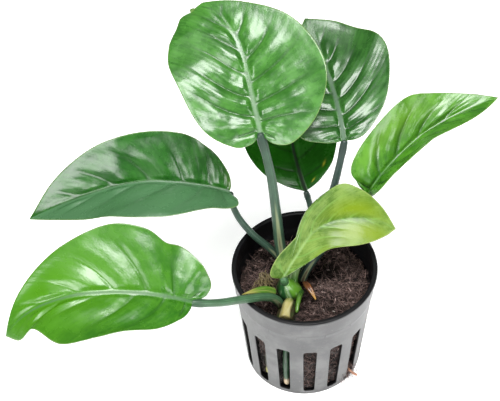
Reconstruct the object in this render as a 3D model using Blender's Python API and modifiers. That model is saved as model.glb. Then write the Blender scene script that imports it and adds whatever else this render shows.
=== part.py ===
"""Anubias plant growing from a block of rock wool in a slotted plastic net pot.

Z is up, and the pot stands on z = 0 with its axis on the Z axis.
X runs along the plant's long side, from the low leaf on the left to the right one.
Sizes are in millimetres in the tables and become metres through MM.
"""
import math

import bmesh
import bpy
import numpy as np
from mathutils import Matrix, Vector

MM = 0.001
CLEARANCE = 0.3 * MM            # air kept between pieces that touch

# Pot
POT_HEIGHT = 50.0 * MM
RIM_RADIUS = 26.5 * MM          # outer edge of the lip
LIP_WIDTH = 0.8 * MM            # how far the lip stands out from the collar
LIP_HEIGHT = 1.8 * MM
COLLAR_HEIGHT = 9.4 * MM        # plain band below the top edge
COLLAR_STEP = 0.5 * MM          # the band stands proud of the wall by this
BASE_RADIUS = 21.5 * MM
WALL = 1.0 * MM
FLOOR = 1.2 * MM
POT_STEPS = 60

# Slots in the wall of the pot
SLOT_COUNT = 15
SLOT_BOTTOM = 2.0 * MM
SLOT_TOP = 29.7 * MM
SLOT_TOP_WIDTH = 5.0 * MM
SLOT_BOTTOM_WIDTH = 4.0 * MM
SLOT_CORNER = 1.2 * MM
SLOT_TURN = math.radians(3.3)   # the front slot's turn from -Y towards +X
FLOOR_SLOT_COUNT = 5
FLOOR_SLOT_INNER = 7.0 * MM
FLOOR_SLOT_OUTER = 16.0 * MM
FLOOR_SLOT_WIDTH = 3.0 * MM

# Growing medium
MEDIUM_DROP = 11.0 * MM         # mean depth of its top face below the pot's edge
MEDIUM_TOP = POT_HEIGHT - MEDIUM_DROP
HOLLOW_WIDTH = 8.5 * MM         # half width of the hollow round the rhizome
MEDIUM_STEPS = 40
MEDIUM_RINGS = 8
CHANNEL_GAP = 0.4 * MM          # air kept between a root and its channel

# The plant's tables are drawn over a pot with this rim radius and height, and
# round a rhizome of this radius. In another pot the plant rises with the edge,
# and what is outside the crown moves out with the rim. That move fades from
# one height to the next, so the blades above keep their places.
DRAWN_RIM = 26.5 * MM
DRAWN_HEIGHT = 50.0 * MM
DRAWN_RHIZOME = 3.2 * MM
CROWN_RADIUS = 8.0 * MM
SHIFT_FULL_HEIGHT = 56.0 * MM
SHIFT_END_HEIGHT = 59.5 * MM

# Rhizome, a thick stem that lies in the hollow from front to back: its top line
RHIZOME_RADIUS = 3.2 * MM
RHIZOME_TOP_LINE = [(-7, -12, 39.7), (-5.5, -3, 39.2), (-4, 6, 38.7), (1, 15, 38.7)]

# Leaf blades
BLADE_THICKNESS = 0.7 * MM
BLADE_ROWS = 16                 # cells along the blade
BLADE_COLUMNS = 5               # cells from the midrib to the margin
MIDRIB_LEAD = 1.7               # how the lateral rows bunch up at the base
ROW_BEND = 1.4                  # how the lateral rows sweep to the tip
MIDRIB_SWAY = 0.3               # share of the midrib's own bend in the rows

# Each blade has its midrib as points from base to tip, and how far its face
# turns from straight up to the front at base, middle and tip, in degrees.
# A side has its half width, the length of its basal lobe, the place of its
# widest point as a share of the length, the fullness of its tip, how far its
# base is wedge-shaped, its fold up from the midrib and its curl in degrees.
# Some sides have a blunt tip, a waist above the lobe, or a bite given as
# (place, half length, depth).
BLADES = {
    "leaf_upright": dict(
        midrib=[(-15, 20, 99), (-17.5, 30, 107), (-21.5, 45, 118), (-28.5, 55, 123), (-34.5, 61, 124)],
        face=(42, 42, 36),
        left=dict(width=25.5, lobe=12, belly=0.5, full=4.5, wedge=0.55, blunt=0.35, fold=(12, 8, 0),
                  curl=(0, 0, -15)),
        right=dict(width=28, lobe=9, belly=0.25, full=1.9, wedge=0.2, fold=(12, 8, 0), curl=(0, 0, -15))),
    "leaf_back_right": dict(
        midrib=[(14.7, 27, 87.4), (13.5, 37, 91), (11, 50, 93.5), (7, 63.5, 97.5), (2.5, 75, 102)],
        face=(38, 38, 38),
        left=dict(width=20, lobe=2, belly=0.3, full=2.1, wedge=0.35, fold=(12, 8, 0)),
        right=dict(width=23.5, lobe=15, belly=0.56, full=2.3, wedge=0.7, fold=(12, 8, 0))),
    "leaf_back": dict(
        midrib=[(1.2, 26, 61.8), (-2.2, 38, 67.5), (-4.5, 50, 74.2), (-7.1, 62, 80.5), (-10, 73, 84)],
        face=(40, 40, 35),
        left=dict(width=18, lobe=6, belly=0.4, full=2.1, wedge=0.8, fold=(15, 10, 0)),
        right=dict(width=17.5, lobe=5, belly=0.37, full=2.1, wedge=0.7, fold=(15, 10, 0))),
    "leaf_right": dict(
        midrib=[(23.5, 18, 67.4), (31, 24, 76), (44.6, 34, 82.5), (62, 41, 88), (71.5, 44, 90)],
        face=(8, 8, 8),
        left=dict(width=16, lobe=1, belly=0.48, full=1.3, wedge=0.3, fold=(45, 45, 20)),
        right=dict(width=13, lobe=5, belly=0.4, full=2.2, wedge=0.7, fold=(50, 50, 25))),
    "leaf_middle_left": dict(
        midrib=[(-26.5, 19, 70), (-40.5, 21, 72.5), (-57.5, 22, 73), (-75, 21, 69), (-100, 17, 59.5)],
        face=(20, 20, 20),
        left=dict(width=20, lobe=15, belly=0.43, full=1.3, wedge=0.7, fold=(34, 32, 25)),
        right=dict(width=19, lobe=11, belly=0.25, full=2.7, wedge=0.75, fold=(35, 38, 20))),
    "leaf_low_left": dict(
        midrib=[(-40, -26, 64), (-54.5, -26, 69), (-68, -26, 70.5), (-82, -27, 70), (-96, -29, 64.5),
                (-105.5, -32, 54.5)],
        face=(20, 20, 20),
        left=dict(width=20, lobe=15, belly=0.5, full=2.2, wedge=0.8, fold=(12, 12, 5), curl=(20, 20, 0),
                  bite=(0.79, 0.09, 6.5)),
        right=dict(width=24, lobe=15, belly=0.34, full=1.4, wedge=0.4, fold=(15, 15, 5))),
    "leaf_young": dict(
        midrib=[(-8, -6, 50.3), (-3, -0.5, 56.4), (4.5, 6.5, 63.2), (14, 9.2, 65.4), (24, 9, 65),
                (33, 6.5, 62)],
        face=(38, 38, 38),
        left=dict(width=13, lobe=6, belly=0.64, full=2.2, wedge=1.0, waist=0.35, fold=(30, 30, 5)),
        right=dict(width=11, lobe=0, belly=0.6, full=2.1, wedge=1.0, fold=(40, 20, 5))),
}

# Sheath round the young leaf's stalk: an open tube
SHEATH_ROUTE = [(-5.7, -3.8, 40.8), (-6.2, -4.4, 43.5), (-7, -5, 46.6)]
SHEATH_RADIUS = 3.3 * MM
SHEATH_BORE = 2.2 * MM
STALK_PLAY = 0.6 * MM           # between the bore and the stalk in it

# Leaf stalks: route from the rhizome to the blade, radius at both ends
STALKS = {
    "stalk_upright": dict(route=[(-5.4, 5, 41.4), (-8, 7.5, 48), (-9.8, 11, 66), (-11.8, 15.5, 84),
                                 (-14.8, 19.2, 97)],
                          radius=(1.9, 1.4)),
    "stalk_back_right": dict(route=[(0.4, 8, 40.2), (3.5, 9.5, 46), (7, 14, 58), (11.4, 21, 70),
                                    (14.8, 26.2, 85)],
                             radius=(1.7, 1.2)),
    "stalk_back": dict(route=[(3, 16, 40.5), (3.6, 19, 47), (3.4, 22, 54), (1.8, 24.6, 59.6)],
                       radius=(1.4, 1.0)),
    "stalk_right": dict(route=[(-0.4, 3, 40.2), (3, 5, 46), (12, 10, 55.5), (18, 14, 60.5), (22, 16.6, 64.8)],
                        radius=(1.5, 1.1)),
    "stalk_middle_left": dict(route=[(-6.4, 9.4, 39.6), (-11, 10.5, 46), (-18.5, 13, 53), (-24, 16.5, 60),
                                     (-25.6, 18.3, 67.4)],
                              radius=(1.5, 1.1)),
    "stalk_low_left": dict(route=[(-9.8, -9.4, 41), (-13, -11.4, 46.8), (-22.5, -18.4, 55), (-31, -23.5, 60),
                                  (-38, -25.6, 62.4)],
                           radius=(1.6, 1.3)),
    "stalk_young": dict(route=[(-5.9, -4, 41), (-6.4, -4.6, 44), (-7.4, -5.4, 48.2)],
                        radius=((SHEATH_BORE - STALK_PLAY) / MM, 1.3)),
}

# Small pieces of the crown: route and radius at both ends
SHOOTS = {
    "sheath_low_left": dict(route=[(-12.6, -8.2, 47.2), (-17, -11.7, 51.2), (-22.0, -15.5, 55.2)],
                            radius=(1.0, 0.35), flat=0.6),
    "cut_stump": dict(route=[(-6.0, -10.2, 41.6), (-7.0, -13.5, 42.2), (-7.6, -16.5, 42.2)],
                      radius=(1.7, 1.9), flat=1.0),
    "bract": dict(route=[(0.4, -2.6, 43), (1.8, -5.2, 43.8), (3.4, -8.8, 42.4)], radius=(1.5, 0.5), flat=0.6),
    "young_shoot": dict(route=[(-1.6, -6, 42), (-2.3, -9.5, 42.8), (-3.0, -13, 42.6)],
                        radius=(0.9, 0.6), flat=1.0),
}

# Roots: angle from -Y towards +X, and route as (radius from the axis, height)
ROOTS = {
    "root_front": dict(turn=-20.7, route=[(8, 31.2), (14, 30), (19.5, 26), (20.6, 18), (20.2, 10), (19.6, 4)],
                       radius=(1.2, 1.1)),
    "root_left": dict(turn=-44.7, route=[(9, 31.2), (15, 29), (19.4, 22), (19.8, 12), (19.4, 5)],
                      radius=(1.0, 0.9)),
    "root_right": dict(turn=51.3, route=[(9, 30.8), (14, 26), (17.5, 16), (19.3, 7), (21.5, 3.6),
                                         (24.5, 3.1)],
                       radius=(0.7, 0.5)),
}

GREEN = dict(
    leaf_upright=(0.10, 0.30, 0.07), leaf_back_right=(0.07, 0.22, 0.05), leaf_back=(0.01, 0.10, 0.01),
    leaf_right=(0.12, 0.33, 0.05), leaf_middle_left=(0.04, 0.17, 0.03), leaf_low_left=(0.10, 0.33, 0.02),
    leaf_young=(0.38, 0.52, 0.12))

for old in list(bpy.data.objects):
    bpy.data.objects.remove(old, do_unlink=True)

PLANT = bpy.data.collections.new("potted_anubias")
CUTTERS = bpy.data.collections.new("cutters")
for group in (PLANT, CUTTERS):
    bpy.context.scene.collection.children.link(group)


def make_material(name, color, roughness):
    """A plain Principled material."""
    material = bpy.data.materials.new(name)
    material.use_nodes = True
    shader = material.node_tree.nodes["Principled BSDF"]
    shader.inputs["Base Color"].default_value = (*color, 1.0)
    shader.inputs["Roughness"].default_value = roughness
    material.diffuse_color = (*color, 1.0)
    return material


def add_object(name, data, material=None, cutter=False):
    """Link a new object; a cutter is drawn as wire and stays out of the part."""
    obj = bpy.data.objects.new(name, data)
    (CUTTERS if cutter else PLANT).objects.link(obj)
    if material:
        data.materials.append(material)
    if cutter:
        obj.hide_render = True
        obj.display_type = "WIRE"
    return obj


def as_mesh(obj):
    """Turn an object with modifiers, or a curve, into a welded mesh object in its place."""
    bpy.context.view_layer.update()
    evaluated = obj.evaluated_get(bpy.context.evaluated_depsgraph_get())
    mesh = bpy.data.meshes.new_from_object(evaluated)
    name, matrix, cutter = obj.name, obj.matrix_world.copy(), obj.name in CUTTERS.objects
    bpy.data.objects.remove(obj, do_unlink=True)
    bm = bmesh.new()
    bm.from_mesh(mesh)
    bmesh.ops.remove_doubles(bm, verts=bm.verts, dist=0.01 * MM)
    bm.to_mesh(mesh)
    bm.free()
    new = add_object(name, mesh, cutter=cutter)
    new.matrix_world = matrix
    return new


def cut(obj, cutter):
    """Take the cutter's shape out of the object."""
    modifier = obj.modifiers.new("cut_" + cutter.name, "BOOLEAN")
    modifier.operation = "DIFFERENCE"
    modifier.object = cutter
    modifier.solver = "EXACT"


def screw(obj, steps):
    """Turn a profile that lies in the XZ plane round the Z axis."""
    modifier = obj.modifiers.new("turn", "SCREW")
    modifier.steps = steps
    modifier.render_steps = steps
    modifier.use_merge_vertices = True
    modifier.merge_threshold = 0.01 * MM
    modifier.use_smooth_shade = False


def profile_mesh(name, points):
    """An open chain of edges through (radius, height) points, top to bottom on its outer side."""
    mesh = bpy.data.meshes.new(name)
    edges = [(i, i + 1) for i in range(len(points) - 1)]
    mesh.from_pydata([(r, 0.0, z) for r, z in points], edges, [])
    return mesh


def spline_through(points, share):
    """Points at the given shares of a smooth curve through the points, spaced by chord length."""
    points = np.asarray(points, float)
    knots = np.concatenate([[0.0], np.cumsum(np.linalg.norm(np.diff(points, axis=0), axis=1))])
    knots /= knots[-1]
    slope = np.empty_like(points)
    slope[1:-1] = (points[2:] - points[:-2]) / (knots[2:] - knots[:-2])[:, None]
    slope[0] = 2 * (points[1] - points[0]) / (knots[1] - knots[0]) - slope[1]
    slope[-1] = 2 * (points[-1] - points[-2]) / (knots[-1] - knots[-2]) - slope[-2]
    share = np.atleast_1d(np.asarray(share, float))
    cell = np.clip(np.searchsorted(knots, share, side="right") - 1, 0, len(points) - 2)
    span = (knots[cell + 1] - knots[cell])[:, None]
    t = (share - knots[cell])[:, None] / span
    return ((2 * t**3 - 3 * t**2 + 1) * points[cell] + (t**3 - 2 * t**2 + t) * span * slope[cell]
            + (3 * t**2 - 2 * t**3) * points[cell + 1] + (t**3 - t**2) * span * slope[cell + 1])


def tube(name, route, radius, material=None, cutter=False, grow=0.0, extend=0.0, points=9):
    """A round tube along a smooth route in millimetres, its radius going evenly from end to end.

    It can be grown all round and made longer, straight on, at both ends.
    """
    curve = bpy.data.curves.new(name, "CURVE")
    curve.dimensions = "3D"
    curve.bevel_depth = 1.0 * MM
    curve.bevel_resolution = 2
    curve.use_fill_caps = True
    spline = curve.splines.new("POLY")
    share = np.linspace(0.0, 1.0, points)
    places = spline_through(route, share) * MM
    sizes = radius[0] + (radius[1] - radius[0]) * share + grow / MM
    if extend:
        first, last = places[0] - places[1], places[-1] - places[-2]
        places = np.vstack([places[0] + first * extend / np.linalg.norm(first), places,
                            places[-1] + last * extend / np.linalg.norm(last)])
        sizes = np.concatenate([sizes[:1], sizes, sizes[-1:]])
    spline.points.add(len(places) - 1)
    for point, place, size in zip(spline.points, places, sizes):
        point.co = (*place, 1.0)
        point.radius = size
    return add_object(name, curve, material, cutter)


def rim_shift(point):
    """How far a point of the plant moves, in millimetres, when the pot isn't the drawn one."""
    reach = math.hypot(point[0], point[1])
    outward = (reach * MM - CROWN_RADIUS) / (DRAWN_RIM - CROWN_RADIUS)
    fading = (SHIFT_END_HEIGHT - point[2] * MM) / (SHIFT_END_HEIGHT - SHIFT_FULL_HEIGHT)
    share = min(max(outward, 0.0), 1.0) * min(max(fading, 0.0), 1.0)
    out = (RIM_RADIUS - DRAWN_RIM) / MM * share / max(reach, 1.0)
    return np.array([out * point[0], out * point[1], (POT_HEIGHT - DRAWN_HEIGHT) / MM])


def placed(route):
    """A route of the plant, each point moved with the pot's edge."""
    return [np.array(point, float) + rim_shift(point) for point in route]


def rhizome_route():
    """The rhizome's middle line, its radius below the top line."""
    return placed([(x, y, z - RHIZOME_RADIUS / MM) for x, y, z in RHIZOME_TOP_LINE])


# ---------------------------------------------------------------- pot
def slot_cutter(name, bottom, top, bottom_width, top_width, depth):
    """An upright slot-shaped block round the Y axis with rounded corners, wider at the top."""
    bm = bmesh.new()
    bmesh.ops.create_cube(bm, size=1.0)
    for vert in bm.verts:
        width = top_width if vert.co.z > 0 else bottom_width
        vert.co = (vert.co.x * width, vert.co.y * depth, top if vert.co.z > 0 else bottom)
    along = [edge for edge in bm.edges if abs(edge.verts[0].co.y - edge.verts[1].co.y) > depth / 2]
    bmesh.ops.bevel(bm, geom=along, offset=SLOT_CORNER, segments=3, profile=0.5, affect="EDGES")
    mesh = bpy.data.meshes.new(name)
    bm.to_mesh(mesh)
    bm.free()
    return mesh


def wall_radius(height):
    """Outer radius of the tapered wall below the collar."""
    top = RIM_RADIUS - LIP_WIDTH - COLLAR_STEP
    return BASE_RADIUS + (top - BASE_RADIUS) * height / (POT_HEIGHT - COLLAR_HEIGHT)


def build_pot():
    """A thin turned shell with a lip, a plain collar, a ring of slots and a slotted floor."""
    step_height = POT_HEIGHT - COLLAR_HEIGHT
    collar = RIM_RADIUS - LIP_WIDTH
    neck = wall_radius(step_height)
    profile = [
        (0.0, FLOOR),
        (wall_radius(FLOOR) - WALL, FLOOR),
        (neck - WALL, step_height),
        (collar - WALL, step_height + 2 * COLLAR_STEP),
        (collar - WALL, POT_HEIGHT),
        (RIM_RADIUS - 0.3 * LIP_WIDTH, POT_HEIGHT),
        (RIM_RADIUS, POT_HEIGHT - 0.3 * LIP_HEIGHT),
        (RIM_RADIUS, POT_HEIGHT - LIP_HEIGHT),
        (collar, POT_HEIGHT - LIP_HEIGHT),
        (collar - 0.4 * COLLAR_STEP, step_height + COLLAR_STEP),
        (neck, step_height),
        (BASE_RADIUS, 0.0),
        (0.0, 0.0),
    ]
    plastic = make_material("pot_plastic", (0.16, 0.16, 0.16), 0.45)
    pot = add_object("net_pot", profile_mesh("net_pot", profile), plastic)
    screw(pot, POT_STEPS)
    depth = 8 * WALL
    shape = slot_cutter("slot_cutter", SLOT_BOTTOM, SLOT_TOP, SLOT_BOTTOM_WIDTH, SLOT_TOP_WIDTH, depth)
    slots = []
    for index in range(SLOT_COUNT):
        turn = Matrix.Rotation(SLOT_TURN + index * math.tau / SLOT_COUNT, 4, "Z")
        middle = wall_radius((SLOT_TOP + SLOT_BOTTOM) / 2) - WALL / 2
        slots.append((shape, turn @ Matrix.Translation((0.0, -middle, 0.0))))
    reach = FLOOR_SLOT_OUTER - FLOOR_SLOT_INNER
    drain = slot_cutter("drain_cutter", -2 * FLOOR, 2 * FLOOR, FLOOR_SLOT_WIDTH, FLOOR_SLOT_WIDTH, reach)
    for index in range(FLOOR_SLOT_COUNT):
        turn = Matrix.Rotation(SLOT_TURN + index * math.tau / FLOOR_SLOT_COUNT, 4, "Z")
        slots.append((drain, turn @ Matrix.Translation((0.0, -(FLOOR_SLOT_INNER + reach / 2), 0.0))))
    bm = bmesh.new()
    for mesh, place in slots:
        copy = mesh.copy()
        copy.transform(place)
        bm.from_mesh(copy)
        bpy.data.meshes.remove(copy)
    joined = bpy.data.meshes.new("pot_slots")
    bm.to_mesh(joined)
    bm.free()
    cut(pot, add_object("pot_slots", joined, cutter=True))
    return pot


# ---------------------------------------------------------------- medium
def route_distance(x, y, route):
    """Distance in plan from a point to a route given in millimetres."""
    line = spline_through(route, np.linspace(0.0, 1.0, 25))[:, :2] * MM
    return float(np.min(np.hypot(line[:, 0] - x, line[:, 1] - y)))


def medium_relief(x, y):
    """Height of the medium's top over its mean: a mound at the front right, lumps, and the hollow."""
    mound = 4.0 * math.exp(-(((x - 13 * MM) / (9 * MM)) ** 2 + ((y + 7 * MM) / (11 * MM)) ** 2))
    lumps = 0.9 * math.sin(0.42 * x / MM + 1.0) * math.cos(0.37 * y / MM)
    lumps += 0.5 * math.sin(0.8 * y / MM + 0.3 * x / MM)
    rhizome = rhizome_route()
    floor = (rhizome[1][2] * MM - RHIZOME_RADIUS - MEDIUM_TOP) / MM - 1.2
    share = math.exp(-(route_distance(x, y, rhizome) / HOLLOW_WIDTH) ** 4)
    return ((mound + lumps) * (1 - share) + floor * share) * MM


def build_medium(roots):
    """A turned plug that fills the pot, with a lumpy top and a channel for each root."""
    inner = BASE_RADIUS - WALL - CLEARANCE
    floor = FLOOR + CLEARANCE
    taper = (wall_radius(MEDIUM_TOP) - wall_radius(0.0)) / MEDIUM_TOP
    side = [(inner + taper * z, z) for z in np.linspace(MEDIUM_TOP, floor, 5)]
    top = [(r, MEDIUM_TOP) for r in np.linspace(0.0, side[0][0], MEDIUM_RINGS + 1)[:-1]]
    profile = top + side + [(0.0, floor)]
    medium = add_object("growing_medium", profile_mesh("growing_medium", profile))
    screw(medium, MEDIUM_STEPS)
    medium = as_mesh(medium)
    for vert in medium.data.vertices:
        if vert.co.z > MEDIUM_TOP - 0.01 * MM:
            vert.co.z += medium_relief(vert.co.x, vert.co.y)
            narrowing = (inner + taper * vert.co.z) / side[0][0]
            vert.co.xy = vert.co.xy * narrowing
    medium.data.materials.append(make_material("rock_wool", (0.09, 0.06, 0.05), 0.95))
    for name, root in roots.items():
        channel = tube(name + "_channel", root["route"], root["radius"], cutter=True,
                       grow=CHANNEL_GAP, extend=CHANNEL_GAP)
        cut(medium, as_mesh(channel))
    return medium


# ---------------------------------------------------------------- leaves
def side_outline(side, length, share):
    """Margin of half a blade in flat coordinates, as (along the midrib, out from it), in millimetres.

    The margin starts at the base, goes round the basal lobe to the widest
    point and on to the tip. It is a smooth curve through the lobe's three
    points, the widest point and two points of the tapering part.
    """
    width, lobe, belly = side["width"], side["lobe"], side["belly"]
    heart = [(-0.75 * lobe, 0.16 * width), (-lobe, 0.42 * width),
             (0.07 * belly * length - 0.25 * lobe, 0.80 * width)]
    wedge = [(0.12 * belly * length, 0.17 * width), (0.30 * belly * length, 0.42 * width),
             (0.60 * belly * length, 0.77 * width)]
    if "waist" in side:
        wedge = [(-0.5 * lobe, 0.45 * width), (0.5 * lobe, 0.55 * width),
                 (0.60 * belly * length, side["waist"] * width)]
    mix = side["wedge"]
    points = [(0.0, 0.0)]
    points += [((1 - mix) * a[0] + mix * b[0], (1 - mix) * a[1] + mix * b[1]) for a, b in zip(heart, wedge)]
    points += [(belly * length, width)]
    points += [((belly + (1 - belly) * q) * length, (1 - q ** side["full"]) * width) for q in (0.40, 0.75)]
    if "blunt" in side:
        points += [(0.99 * length, side["blunt"] * width)]
    points = np.array(points + [(length, 0.0)])
    slope = np.empty_like(points)
    slope[1:-1] = (points[2:] - points[:-2]) / 2
    slope[0] = points[1] - points[0]
    slope[-1] = points[-1] - points[-2]
    place = share * (len(points) - 1)
    cell = np.clip(place.astype(int), 0, len(points) - 2)
    t = (place - cell)[..., None]
    margin = ((2 * t**3 - 3 * t**2 + 1) * points[cell] + (t**3 - 2 * t**2 + t) * slope[cell]
              + (3 * t**2 - 2 * t**3) * points[cell + 1] + (t**3 - t**2) * slope[cell + 1])
    if "bite" in side:
        place, reach, depth = side["bite"]
        margin[..., 1] -= depth * np.exp(-((margin[..., 0] / length - place) / reach) ** 2)
    return margin


def blade_surface(blade, share, across):
    """Points of a blade in metres, for shares along it in 0..1 and across it in -1..1.

    Each row leaves the midrib and sweeps to the margin. Half a blade is folded
    up along the midrib and curled in an arc, then laid on the midrib's curve.
    """
    fine = np.linspace(0.0, 1.0, 400)
    midrib = spline_through(blade["midrib"], fine) + rim_shift(blade["midrib"][0])
    arc = np.concatenate([[0.0], np.cumsum(np.linalg.norm(np.diff(midrib, axis=0), axis=1))])
    length = arc[-1]
    along = np.gradient(midrib, arc, axis=0)
    along /= np.linalg.norm(along, axis=1)[:, None]
    tilt = np.radians(np.interp(arc / length, (0.0, 0.5, 1.0), blade["face"]))
    face = np.stack([np.zeros_like(tilt), -np.sin(tilt), np.cos(tilt)], axis=-1)
    up = face - np.sum(face * along, axis=1)[:, None] * along
    up /= np.linalg.norm(up, axis=1)[:, None]
    chord = (midrib[-1] - midrib[0]) / np.linalg.norm(midrib[-1] - midrib[0])
    out = np.cross(up, MIDRIB_SWAY * along + (1 - MIDRIB_SWAY) * chord)
    out /= np.linalg.norm(out, axis=1)[:, None]

    def at(table, place):
        return np.stack([np.interp(place, arc, table[:, axis]) for axis in range(3)], axis=-1)

    result = np.zeros((*share.shape, 3))
    for name, sign in (("left", 1.0), ("right", -1.0)):
        side = blade[name]
        t = np.abs(across)
        margin = side_outline(side, length, share)
        start = length * share ** MIDRIB_LEAD
        x = start + (margin[..., 0] - start) * t ** ROW_BEND
        y = np.maximum(margin[..., 1], 0.0) * t
        on_rib = np.clip(x, 0.0, length)
        fold = np.radians(np.interp(on_rib / length, (0.0, 0.5, 1.0), side["fold"]))
        curl = np.radians(np.interp(on_rib / length, (0.0, 0.5, 1.0), side.get("curl", (0, 0, 0))))
        bend = np.where(np.abs(curl) < 1e-5, 1e-5, curl) / side["width"]
        outward = (np.sin(fold + bend * y) - np.sin(fold)) / bend
        upward = (np.cos(fold) - np.cos(fold + bend * y)) / bend
        point = at(midrib, on_rib) + np.minimum(x, 0.0)[..., None] * along[0]
        point += sign * outward[..., None] * at(out, on_rib) + upward[..., None] * at(up, on_rib)
        chosen = across * sign >= 0
        result[chosen] = point[chosen]
    return result * MM


def build_blade(name, blade):
    """A grid shaped as the blade's surface, thickened to a closed shell."""
    bm = bmesh.new()
    bmesh.ops.create_grid(bm, x_segments=2 * BLADE_COLUMNS, y_segments=BLADE_ROWS, size=1.0)
    flat = np.array([vert.co for vert in bm.verts])
    surface = blade_surface(blade, (flat[:, 1] + 1) / 2, -np.round(flat[:, 0], 6))
    for vert, place in zip(bm.verts, surface):
        vert.co = place
    bmesh.ops.remove_doubles(bm, verts=bm.verts, dist=0.02 * MM)
    mesh = bpy.data.meshes.new(name)
    bm.to_mesh(mesh)
    bm.free()
    leaf = add_object(name, mesh, make_material(name + "_green", GREEN[name], 0.35))
    shell = leaf.modifiers.new("thickness", "SOLIDIFY")
    shell.thickness = BLADE_THICKNESS
    shell.offset = 0.0
    mesh.shade_smooth()
    return leaf


# ---------------------------------------------------------------- assembly
def root_route(root):
    """A root's route in millimetres, from its angle, radii and heights.

    Its start rises with the pot's edge, and is lower under a thicker rhizome; its tip stays.
    """
    turn = math.radians(root["turn"])
    start, tip = root["route"][0][1], root["route"][-1][1]
    rise = (POT_HEIGHT - DRAWN_HEIGHT) / MM
    heights = [z + rise * (z - tip) / (start - tip) for r, z in root["route"]]
    heights[0] -= 2 * (RHIZOME_RADIUS - DRAWN_RHIZOME) / MM
    radii = [r for r, z in root["route"]]
    return [(r * math.sin(turn), -r * math.cos(turn), z) for r, z in zip(radii, heights)]


def build_shoots():
    """The small pieces of the crown, some of them flattened."""
    colors = dict(sheath_low_left=(0.35, 0.42, 0.08), cut_stump=(0.45, 0.40, 0.14), bract=(0.30, 0.12, 0.03),
                  young_shoot=(0.20, 0.38, 0.06))
    for name, shoot in SHOOTS.items():
        skin = make_material(name + "_skin", colors[name], 0.5)
        route = placed(shoot["route"])
        obj = tube(name, route, shoot["radius"], skin, points=7)
        middle = Vector(np.mean(route, axis=0)) * MM
        squash = Matrix.Translation(middle) @ Matrix.Diagonal((1.0, 1.0, shoot["flat"], 1.0))
        obj.data.transform(squash @ Matrix.Translation(-middle))


def build_plant():
    """Rhizome, stalks, blades, sheath, shoots and roots."""
    stem = make_material("stem_green", (0.07, 0.13, 0.06), 0.45)
    bark = make_material("rhizome_bark", (0.06, 0.08, 0.03), 0.7)
    rhizome = tube("rhizome", rhizome_route(), (RHIZOME_RADIUS / MM,) * 2, bark)
    rhizome.data.bevel_resolution = 3
    for name, stalk in STALKS.items():
        tube(name, placed(stalk["route"]), stalk["radius"], stem)
    for name, blade in BLADES.items():
        build_blade(name, blade)
    sheath_route = placed(SHEATH_ROUTE)
    sheath = tube("sheath_young", sheath_route, (SHEATH_RADIUS / MM,) * 2)
    sheath = as_mesh(sheath)
    sheath.data.materials.append(make_material("sheath_green", (0.12, 0.28, 0.05), 0.45))
    bore = tube("sheath_bore", sheath_route, (SHEATH_BORE / MM,) * 2, cutter=True, extend=SHEATH_RADIUS)
    cut(sheath, as_mesh(bore))
    build_shoots()
    skin = make_material("root_skin", (0.20, 0.24, 0.10), 0.6)
    roots = {name: dict(route=root_route(root), radius=root["radius"]) for name, root in ROOTS.items()}
    for name, root in roots.items():
        tube(name, root["route"], root["radius"], skin)
    return roots


build_pot()
build_medium(build_plant())
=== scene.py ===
"""Looks of a potted anubias: net pot, rock wool, rhizome, roots, stalks and seven blades.

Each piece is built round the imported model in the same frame, in metres. The
sections follow the plant as it is put together, from the pot upwards. Routes
and blade tables are in millimetres and become metres through MM.
"""
import math

import bmesh
import bpy
import numpy as np
from mathutils import Matrix, Vector


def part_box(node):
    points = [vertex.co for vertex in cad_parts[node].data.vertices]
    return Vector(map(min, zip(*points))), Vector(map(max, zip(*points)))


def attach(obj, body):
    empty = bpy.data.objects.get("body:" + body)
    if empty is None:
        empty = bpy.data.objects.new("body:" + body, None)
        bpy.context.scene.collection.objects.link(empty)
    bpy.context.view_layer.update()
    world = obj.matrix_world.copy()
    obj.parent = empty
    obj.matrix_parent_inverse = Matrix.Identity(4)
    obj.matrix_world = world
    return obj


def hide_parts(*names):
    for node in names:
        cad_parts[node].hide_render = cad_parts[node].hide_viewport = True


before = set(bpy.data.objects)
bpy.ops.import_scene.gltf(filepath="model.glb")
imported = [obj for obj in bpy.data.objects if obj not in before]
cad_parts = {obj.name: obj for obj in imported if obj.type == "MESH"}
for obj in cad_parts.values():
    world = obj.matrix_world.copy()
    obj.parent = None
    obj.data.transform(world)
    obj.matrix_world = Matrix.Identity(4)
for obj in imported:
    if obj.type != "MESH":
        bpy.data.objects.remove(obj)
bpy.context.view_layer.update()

MM = 0.001

# ---------------------------------------------------------------- studio
# A pale floor, faintly lit from inside, under a white tent with a bright roof.
# One soft lamp hangs over the plant and two broad ones stand in front of it on
# either side. The camera looks down on the pot from the front, half way up.
VIEW_TARGET = Vector((-0.0192, 0.0534, 0.025))
VIEW_DISTANCE = 0.70
VIEW_ELEVATION = math.radians(49.3)
VIEW_ROLL = math.radians(-1.3)
VIEW_LENS = 128.4               # millimetres, on a sensor 36 wide
FLOOR_SIZE = 6.0
FLOOR_WHITE = (0.93, 0.93, 0.93, 1.0)
FLOOR_GLOW = 0.36
FLOOR_ROUGHNESS = 0.9
TENT_WALLS = 0.24
TENT_CAP = 1.5
TENT_CAP_FROM = 0.80            # sine of the height where the bright roof starts
TENT_CAP_FULL = 0.95
LAMP_AIM = (0.0, 0.03, 0.08)

scene = bpy.context.scene
scene.view_settings.view_transform = "Standard"

camera_data = bpy.data.cameras.new("camera")
camera_data.lens = VIEW_LENS
camera_data.sensor_width = 36.0
camera = bpy.data.objects.new("camera", camera_data)
toward_camera = Vector((0.0, -math.cos(VIEW_ELEVATION), math.sin(VIEW_ELEVATION)))
tilted = Matrix.Rotation(math.pi / 2 - VIEW_ELEVATION, 4, "X")
rolled = Matrix.Rotation(VIEW_ROLL, 4, "Z")
camera.matrix_world = Matrix.Translation(VIEW_TARGET + toward_camera * VIEW_DISTANCE) @ tilted @ rolled
scene.collection.objects.link(camera)
scene.camera = camera

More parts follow.
